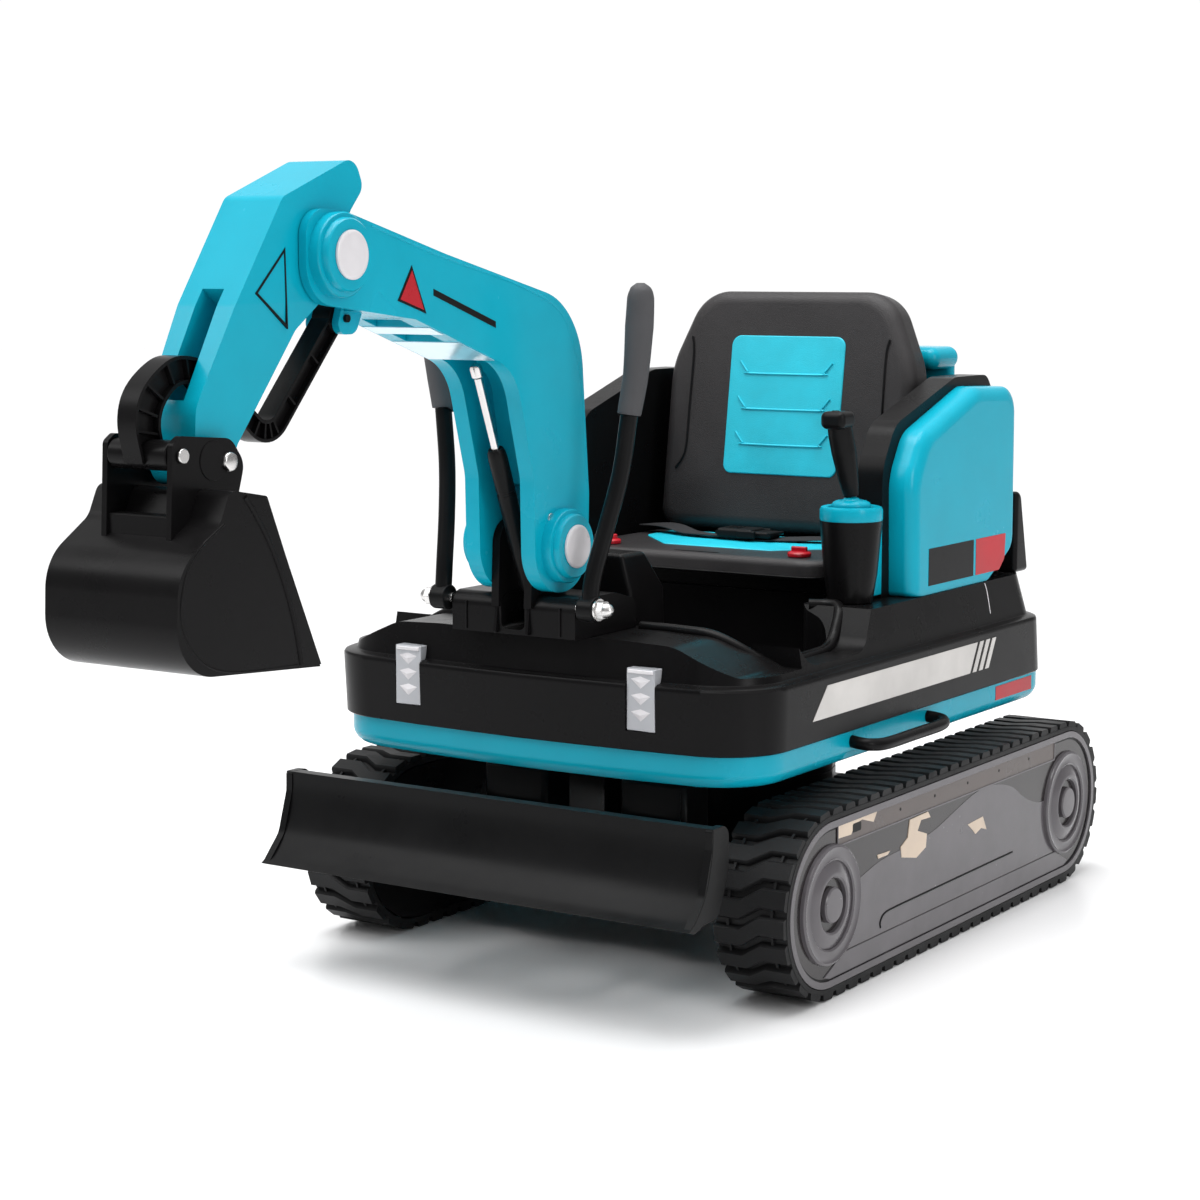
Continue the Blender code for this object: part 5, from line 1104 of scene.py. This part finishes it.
def boom():
    ty, tz = DIPPER_PIVOT
    by, bz = BOOM_PIVOT
    profile = filleted([(ty - 0.0395, tz + 0.04, 0.036), (ty - 0.0395, tz - 0.0395, 0.036), (-0.578, 0.665, 0.02),
                        (-0.424, 0.615, 0.055), (-0.394, 0.51, 0.04), (by - 0.046, bz - 0.046, 0.044),
                        (by + 0.045, bz - 0.046, 0.044), (-0.298, 0.49, 0.05), (-0.314, 0.674, 0.082),
                        (-0.534, 0.7235, 0.05), (ty + 0.012, tz + 0.0375, 0.03)], 16)
    body = softened(slab("boom", profile, "YZ", -BOOM_HALF, BOOM_HALF), 0.003, 4, 50)
    channel = slab("channel", filleted([(by + 0.06, bz - 0.08, 0), (by - 0.1, bz - 0.08, 0), (-0.48, 0.56, 0),
                                        (-0.48, 0.62, 0), (-0.42, 0.642, 0.02), (-0.372, 0.6, 0.04),
                                        (-0.352, 0.5, 0), (by + 0.06, bz + 0.046, 0.03)], 10),
                   "YZ", -0.0245, 0.0245)
    fork = slab("fork", [(ty - 0.08, tz - 0.08), (ty + 0.03, tz - 0.08),
                         *[(ty + FORK_RADIUS * math.cos(a), tz + FORK_RADIUS * math.sin(a))
                           for a in (math.radians(-50 + 4 * d) for d in range(26))],
                         (ty + 0.03, tz + 0.08), (ty - 0.08, tz + 0.08)], "YZ", -0.033, 0.033)
    windows = []
    for y in (-0.566, -0.522):
        z = underside_z(y)
        windows.append(block("window", (-0.022, y - 0.011, z - 0.03), (0.022, y + 0.011, z + 0.014)))
    py, pz = REAR_LINK_PIN
    pocket = rod("pocket", "X", (0, py, pz), 0.027, -LINK_HALF - 0.0022, LINK_HALF + 0.0022, 48)
    body = cut(body, channel, fork, pocket, *windows)
    parts = [body]
    for (hy, hz), inner in ((DIPPER_PIVOT, 0.035), (BOOM_PIVOT, 0.0285)):
        ring = [(0.0082, inner), (HUB_RADIUS, inner), (HUB_RADIUS, BOOM_HALF + 0.0085),
                (HUB_RADIUS - 0.0012, BOOM_HALF + 0.01),
                (HUB_RADIUS - 0.0045, BOOM_HALF + 0.0104), (HUB_RADIUS - 0.005, HUB_FACE - 0.0015),
                (HUB_RADIUS - 0.0065, HUB_FACE), (0.0082, HUB_FACE)]
        if hy == BOOM_PIVOT[0]:
            ring = [(max(r, 0.013), h) for r, h in ring]
        for turn in (towards_side(1), towards_side(-1)):
            parts.append(turned("hub", ring, (0, hy, hz), steps=96, turn=turn))
    lug = filleted([(py - 0.014, pz - 0.014, 0.012), (py + 0.014, pz - 0.014, 0.012), (py + 0.036, pz + 0.03, 0),
                    (py + 0.018, pz + 0.034, 0), (py - 0.004, pz + 0.014, 0.004)], 8)
    for _, sign in SIDES:
        parts.append(softened(slab("lug", lug, "YZ", *span(sign, LINK_HALF + 0.0012, LINK_HALF + 0.0085)),
                              0.001, 3, 50))
        edge = flat_path([(-0.64, 0.747), (-0.534, 0.72), (-0.42, 0.695), (-0.35, 0.67), (-0.322, 0.63),
                          (-0.308, 0.58), (-0.301, 0.5)], 8)
        parts.append(tube("bead", [(sign * (BOOM_HALF - 0.001), u - 0.0005, v) for u, v in edge], 0.0016, 1, 5))
    show(merged("boom", *parts), "boom_shell", "boom", "turquoise", TURQUOISE, "boom", smooth=40)
    # Pale plates on the underside between the windows: painted reflection of the bright floor on the glossy turquoise.
    gloss = surface("boom_underside_reflection_paint", (0.34, 0.6, 0.7), 0.12, bump=0.02, coat=0.8)

    def under(a, b, half):
        low = [(a, underside_z(a) - MARK_DEPTH), (b, underside_z(b) - MARK_DEPTH)]
        high = [(b, low[1][1] + 0.0016), (a, low[0][1] + 0.0016)]
        return slab("under", low + high, "YZ", -half, half)
    plates = [under(-0.5545, -0.5345, 0.0385), under(-0.51, -0.455, 0.0385)]
    show(merged("plates", *plates), "boom_painted_reflection_panels", "boom", "turquoise", gloss)
    bolts = []
    for yy, zz in ((-0.372, 0.452), (-0.366, 0.47)):
        bolts.append(softened(rod("bolt", "X", (0, yy, zz), 0.0045, BOOM_HALF - 0.002, BOOM_HALF + 0.0016, 24),
                              0.0008, 2))
    show(merged("bolts", *bolts), "boom_foot_bolts", "boom", "steel", STEEL)
    y, z = BOOM_PIVOT
    for side, sign in SIDES:
        turn = towards_side(sign)
        cap = turned("cap", [(0, HUB_FACE + GAP), (0.0212, HUB_FACE + GAP), (0.0212, HUB_FACE + 0.0022),
                             (0.02, HUB_FACE + 0.0032), (0.018, HUB_FACE + 0.0035), (0, HUB_FACE + 0.0035)],
                     (0, y, z), steps=72, turn=turn)
        show(cap, f"boom_cap_{side}_disc", "boom", "cap", PALE, f"boom_cap_{side}")
    y, z = DIPPER_PIVOT
    reach = HUB_FACE + 0.0035
    half_pin = [(0.0212, HUB_FACE + GAP), (0.0212, reach - 0.0013), (0.02, reach - 0.0003), (0.018, reach),
                (0, reach)]
    pin = [(r, -h) for r, h in half_pin[::-1]] + [(0.0075, -HUB_FACE - GAP), (0.0075, HUB_FACE + GAP)] + half_pin
    show(turned("pin", pin, (0, y, z), "X", 72), "dipper_pin_discs", "boom", "cap", PALE, "dipper_pin")
    for side, sign in SIDES:
        at = sign * BOOM_HALF
        tri = [(-0.605, 0.682), (-0.563, 0.67), (-0.584, 0.713)]
        centre = (sum(p[0] for p in tri) / 3, sum(p[1] for p in tri) / 3)
        small = [(centre[0] + (u - centre[0]) * 0.82, centre[1] + (v - centre[1]) * 0.82) for u, v in tri]
        show(slab("sign", tri, "YZ", *mark_span(sign, at, 0.0004)), f"boom_sign_{side}", "boom", "dark_parts", LABEL)
        show(slab("sign", small, "YZ", *mark_span(sign, at, 0.0007)), f"boom_sign_{side}_red", "boom", "knob", RED)
        bar = [(-0.552, 0.686), (-0.456, 0.655), (-0.456, 0.661), (-0.552, 0.692)]
        show(slab("bar", bar, "YZ", *mark_span(sign, at, 0.0004)), f"boom_line_{side}", "boom", "dark_parts", LABEL)


def dipper():
    y, z = DIPPER_PIVOT
    ky, kz = BUCKET_PIVOT
    profile = filleted([(-0.748, 0.77, 0.014), (-0.652, 0.807, 0.02), (-0.64, 0.78, 0.012), (-0.66, 0.758, 0.01),
                        (y + 0.034, z - 0.002, 0.014), (y - 0.01, z - 0.04, 0.02), (-0.732, 0.659, 0.02),
                        (ky + 0.026, kz + 0.012, 0.02), (ky + 0.012, kz - 0.024, 0.016),
                        (ky - 0.026, kz - 0.018, 0.018),
                        (ky - 0.026, kz + 0.045, 0.03), (-0.81, 0.68, 0.05)], 14)
    body = softened(slab("dipper", profile, "YZ", -DIPPER_HALF, DIPPER_HALF), 0.0042, 5, 50)
    for vertex in body.data.vertices:
        share = min(1.0, max(0.0, (0.69 - vertex.co.z) / 0.16))
        vertex.co.x *= 1.0 - 0.26 * share
    along = (Vector((ky, kz)) - Vector((y, z))).normalized()
    normal = Vector((along.y, -along.x))
    corners = []
    for length, side in ((0.092, -0.12), (0.092, 0.12), (0.194, 0.12), (0.194, -0.12)):
        point = Vector((y, z)) + along * length + normal * side
        corners.append((point.x, point.y))
    slot = slab("slot", corners, "YZ", -LINK_HALF - 0.0018, LINK_HALF + 0.0018)
    bores = [rod("bore", "X", (0, y, z), 0.0082, -0.1, 0.1, 40), rod("bore", "X", (0, ky, kz), 0.0067, -0.1, 0.1, 40)]
    show(cut(body, slot, *bores), "dipper_shell", "dipper", "turquoise", TURQUOISE, "dipper", smooth=40)
    tri = [(-0.785, 0.69), (-0.744, 0.66), (-0.746, 0.728)]
    centre = (sum(p[0] for p in tri) / 3, sum(p[1] for p in tri) / 3)

    def scaled(share):
        return [(centre[0] + (u - centre[0]) * share, centre[1] + (v - centre[1]) * share) for u, v in tri]
    for side, sign in SIDES:
        at = sign * DIPPER_HALF
        low, high = sorted((at - sign * 0.0018, at + sign * 0.0003))
        show(slab("outline", scaled(1.0), "YZ", low, high, holes=[scaled(0.88)]), f"dipper_sign_{side}", "dipper",
             "dark_parts", LABEL)


def bucket():
    ky, kz = BUCKET_PIVOT
    corners = [(-0.821, 0.527, 0.004), (-0.866, 0.535, 0.01), (-0.879, 0.508, 0.02), (-0.929, 0.476, 0.045),
               (-0.933, 0.39, 0.07), (-0.756, 0.378, 0)]
    middle = Vector((-0.862, 0.45))

    def profile(grow=0.0):
        drawn = []
        for y, z, radius in corners:
            point = Vector((y, z))
            away = (point - middle).normalized() * grow
            drawn.append((y + away.x, z + away.y, radius))
        return filleted(drawn, 14)
    shell = softened(slab("bucket", profile(), "YZ", -BUCKET_HALF, BUCKET_HALF), 0.0022, 4, 50)
    inside = profile(-BUCKET_WALL * 1.25)
    shift = Vector((0.05, 0.02))
    opened = [(p + shift) if (i <= 14 or i == len(inside) - 1) and p.x > -0.84 else p for i, p in enumerate(inside)]
    cavity = slab("cavity", opened, "YZ", -BUCKET_HALF + BUCKET_WALL, BUCKET_HALF - BUCKET_WALL)
    parts = [cut(shell, cavity)]
    ridge = flat_path([(-0.848, 0.528), (-0.835, 0.512), (-0.817, 0.485), (-0.8, 0.45), (-0.788, 0.415),
                       (-0.781, 0.383)], 10)
    rim = flat_path([(-0.874, 0.508), (-0.9, 0.493), (-0.917, 0.476), (-0.926, 0.45), (-0.924, 0.428),
                     (-0.91, 0.406), (-0.886, 0.392), (-0.85, 0.386), (-0.786, 0.383)], 10)
    for _, sign in SIDES:
        at = sign * (BUCKET_HALF - 0.0006)
        parts.append(tube("ridge", [(at, u, v) for u, v in ridge], 0.0024, 1, 6))
        flange = list(ridge) + [(-0.756, 0.38), (-0.8225, 0.5255)]
        parts.append(slab("flange", flange, "YZ", *span(sign, BUCKET_HALF - 0.002, BUCKET_HALF + 0.001)))
        parts.append(tube("rim", [(at, u, v) for u, v in rim], 0.0013, 1, 6))
        edge = flat_path([(-0.8225, 0.525), (-0.758, 0.38)], 2)
        parts.append(tube("edge", [(sign * (BUCKET_HALF - 0.0012), u, v) for u, v in edge], 0.0018, 1, 6))
    show(merged("bucket", *parts), "bucket_shell", "bucket", "black_body", BLACK, "bucket", smooth=40)
    rib = filleted([(-0.895, 0.572, 0.006), (-0.886, 0.578, 0.006), (ky + 0.004, kz + 0.019, 0.016),
                    (ky + 0.02, kz - 0.002, 0.016), (ky + 0.01, 0.52, 0), (-0.865, 0.5, 0), (-0.9, 0.476, 0),
                    (-0.899, 0.5, 0)], 10)
    outer = 0.038
    parts = [softened(slab("rib", rib, "YZ", *span(sign, 0.0325, outer)), 0.0012, 3, 50) for _, sign in SIDES]
    parts += [softened(block("bar", (-0.034, -0.895, z), (0.034, -0.878, z + 0.004)), 0.001, 3)
              for z in (0.51, 0.496)]
    parts.append(softened(block("bar", (-0.034, -0.896, 0.49), (0.034, -0.8925, 0.5135)), 0.001, 3))
    parts.append(softened(block("foot", (-0.04, -0.864, 0.517), (0.04, -0.822, 0.527)), 0.003, 4))
    for _, sign in SIDES:
        disc = rod("disc", "X", (0, ky - 0.018, kz + 0.002), 0.0165, *span(sign, outer - 0.001, outer + 0.0008), 48)
        parts.append(softened(disc, 0.0006, 2))
    show(merged("bracket", *parts), "bucket_hinge_plates", "bucket", "black_body", BLACK, "bucket_bracket")
    reach = outer + GAP
    parts = [turned("pin", [(0, -reach - 0.004), (0.0068, -reach - 0.004), (0.0082, -reach - 0.0026),
                            (0.0082, -reach),
                            (0.006, -reach), (0.006, reach), (0.0082, reach), (0.0082, reach + 0.0026),
                            (0.0068, reach + 0.004), (0, reach + 0.004)], (0, ky, kz), "X", 48)]
    show(merged("pin", *parts), "bucket_pin_steel", "bucket", "steel", STEEL, "bucket_pin", smooth=50)


def ribbed(name, outer, inner, ribs, web):
    """A moulded link: two flanges along its edges, a thin web, and ribs across."""
    parts = [slab(name, list(outer) + list(inner)[::-1], "YZ", -web, web),
             softened(ribbon("flange", outer, LINK_HALF, 0.003), 0.0006, 2, 60),
             softened(ribbon("flange", inner, LINK_HALF, 0.003), 0.0006, 2, 60)]
    for i in range(ribs + 1):
        share = i / ribs
        a = Vector(outer[round(share * (len(outer) - 1))])
        b = Vector(inner[round(share * (len(inner) - 1))])
        if (a - b).length > 0.002:
            parts.append(ribbon("rib", [a, b], LINK_HALF - 0.0008, 0.002))
    return parts


def links():
    qy, qz = LINK_PIN
    outer = flat_path([(qy - 0.0135, qz - 0.006), (-0.9055, 0.59), (-0.895, 0.6165), (-0.864, 0.637), (-0.834, 0.637),
                       (-0.815, 0.6265)], 8)
    inner = flat_path([(qy + 0.013, qz - 0.004), (-0.879, 0.584), (-0.873, 0.603), (-0.856, 0.617), (-0.833, 0.6185),
                       (-0.82, 0.6105)], 8)
    parts = ribbed("arch", outer, inner, 7, 0.004)
    parts.append(softened(rod("eye", "X", (0, qy, qz), 0.0125, -0.0315, 0.0315, 64), 0.0012, 3))
    show(merged("arch", *parts), "arch_link_moulding", "arch_link", "black_body", BLACK, "arch_link")
    pin = rod("pin", "X", (0, qy, qz), 0.0035, -0.0405, 0.0405, 32)
    heads = [softened(rod("head", "X", (0, qy, qz), 0.0062, *span(sign, 0.0384, 0.0415), 32), 0.001, 3)
             for _, sign in SIDES]
    show(merged("pin", pin, *heads), "arch_link_bolt", "arch_link", "steel", STEEL)
    py, pz = REAR_LINK_PIN
    middle = [Vector(p) for p in filleted([(py, pz, 0), (-0.744, 0.564, 0.024), (-0.7835, 0.597, 0)], 10)[:-1]]
    middle = [middle[0].lerp(middle[1], t / 5) for t in range(5)] + middle[1:]
    middle += [middle[-1].lerp(Vector((-0.7835, 0.597)), t / 3) for t in (1, 2, 3)]
    outer, inner = [], []
    for i, p in enumerate(middle):
        along = (middle[min(i + 1, len(middle) - 1)] - middle[max(i - 1, 0)]).normalized()
        normal = Vector((along.y, -along.x)) * 0.008
        outer.append(p + normal)
        inner.append(p - normal)
    parts = ribbed("link", outer, inner, 8, 0.004)
    parts.append(softened(rod("eye", "X", (0, py, pz), 0.0125, -LINK_HALF, LINK_HALF, 48), 0.001, 3))
    parts.append(rod("pin", "X", (0, py, pz), 0.0035, -0.0215, 0.0215, 32))
    parts.append(softened(rod("end", "X", (0, -0.7835, 0.597), 0.008, -LINK_HALF, LINK_HALF, 48), 0.001, 3))
    show(merged("link", *parts), "rear_link_moulding", "rear_link", "black_body", BLACK, "rear_link")


def strut():
    foot, head = Vector((0, *STRUT_FOOT)), Vector((0, *STRUT_HEAD))
    along = (head - foot).normalized()
    place = Matrix.Translation(foot) @ AXES["Z"].rotation_difference(along).to_matrix().to_4x4()
    whole = (head - foot).length
    cylinder = turned("cylinder", [(0, 0.006), (0.0055, 0.006), (0.006, 0.02), (0.0088, 0.0245), (0.0095, 0.028),
                                   (0.0095, 0.128), (0.009, 0.1285), (0.009, 0.1315), (0.0095, 0.132),
                                   (0.0095, 0.166),
                                   (0.0088, 0.1725), (0.0072, 0.176), (0.0049, 0.176), (0.0049, 0.06), (0, 0.06)],
                      (0, 0, 0), steps=72)
    rod_piece = turned("rod", [(0, 0.096), (0.0042, 0.096), (0.0042, whole - 0.0125), (0.006, whole - 0.0105),
                               (0.0063, whole - 0.0015), (0.005, whole + 0.0012), (0, whole + 0.002)], (0, 0, 0),
                               steps=48)
    cylinder.data.transform(place)
    rod_piece.data.transform(place)
    show(cylinder, "strut_tube", "strut_cylinder", "black_body", PAINTED, "strut_cylinder")
    show(rod_piece, "strut_piston", "strut_rod", "steel", STEEL, "strut_rod")


# ---------------------------------------------------------------- studio
def area_light(name, place, aim, size, power, tint=(1, 1, 1)):
    light = bpy.data.lights.new(name, "AREA")
    light.shape = "RECTANGLE"
    light.size, light.size_y = size
    light.energy = power
    light.color = tint
    obj = linked(name, light)
    obj.location = place
    obj.rotation_euler = (Vector(aim) - Vector(place)).to_track_quat("-Z", "Y").to_euler()


def sky():
    """A studio all round: a bright ceiling, a white backdrop beyond the machine, and darker walls at the sides."""
    world = bpy.data.worlds.new("studio")
    bpy.context.scene.world = world
    world.use_nodes = True
    nodes, links = world.node_tree.nodes, world.node_tree.links
    coords = nodes.new("ShaderNodeTexCoord")
    split = nodes.new("ShaderNodeSeparateXYZ")
    links.new(coords.outputs["Generated"], split.inputs["Vector"])
    ceiling = ramp(nodes, links, split.outputs["Z"], 0.34, 1.0, 0.35, 0.85)
    facing = nodes.new("ShaderNodeVectorMath")
    facing.operation = "DOT_PRODUCT"
    facing.inputs[1].default_value = (-0.547, 0.837, 0.0)
    links.new(coords.outputs["Generated"], facing.inputs[0])
    backdrop = ramp(nodes, links, facing.outputs["Value"], 0.0, 1.02, 0.72, 0.93)
    most = maths(nodes, links, "MAXIMUM", ceiling.outputs["Result"], backdrop.outputs["Result"])
    links.new(most, nodes["Background"].inputs["Strength"])
    nodes["Background"].inputs["Color"].default_value = (1.0, 1.0, 1.0, 1)


def studio():
    bm = bmesh.new()
    bmesh.ops.create_grid(bm, x_segments=1, y_segments=1, size=14)
    floor = mesh_object(bm, "floor")
    floor.location.z = -0.0005
    made, nodes, links, shader = new_material("floor")
    coords = nodes.new("ShaderNodeTexCoord")
    patch = noise(nodes, links, coords, 3.0, 4.0)
    gloss = ramp(nodes, links, patch.outputs["Fac"], 0.3, 0.38)
    links.new(gloss.outputs["Result"], shader.inputs["Roughness"])
    shader.inputs["Base Color"].default_value = (0.86, 0.86, 0.865, 1)
    floor.data.materials.append(made)
    sky()
    area_light("key", (-2.2, -2.6, 3.0), (0, 0, 0.35), (1.6, 1.6), 30)
    area_light("side", (3.2, -0.9, 1.6), (0, 0.1, 0.35), (0.9, 1.8), 26)
    area_light("top", (0.1, 0.2, 3.0), (0, 0.1, 0.3), (2.0, 2.0), 50)
    sun = bpy.data.lights.new("sun", "SUN")
    sun.energy = 1.6
    sun.angle = math.radians(40)
    lamp = linked("sun", sun)
    lamp.rotation_euler = (math.radians(18), math.radians(-14), 0)
    data = bpy.data.cameras.new("camera")
    data.sensor_width = SENSOR_MM
    data.lens = LENS_MM
    data.clip_end = 60
    camera = linked("camera", data)
    camera.location = CAMERA_PLACE
    camera.rotation_euler = (CAMERA_PITCH, 0, CAMERA_TURN)
    bpy.context.scene.camera = camera
    view = bpy.context.scene.view_settings
    view.view_transform = "Standard"
    view.look = "None"


for build in (belt, cover, blade, underframe, body_shell, base_pan, seat_surround, side_hood, rear_pieces, seat,
              lap_belt, controls, travel_levers, headlights, dash_and_handles, boom_bracket, side_marks, boom, dipper,
              bucket, links, strut):
    build()
dress_frame()
studio()
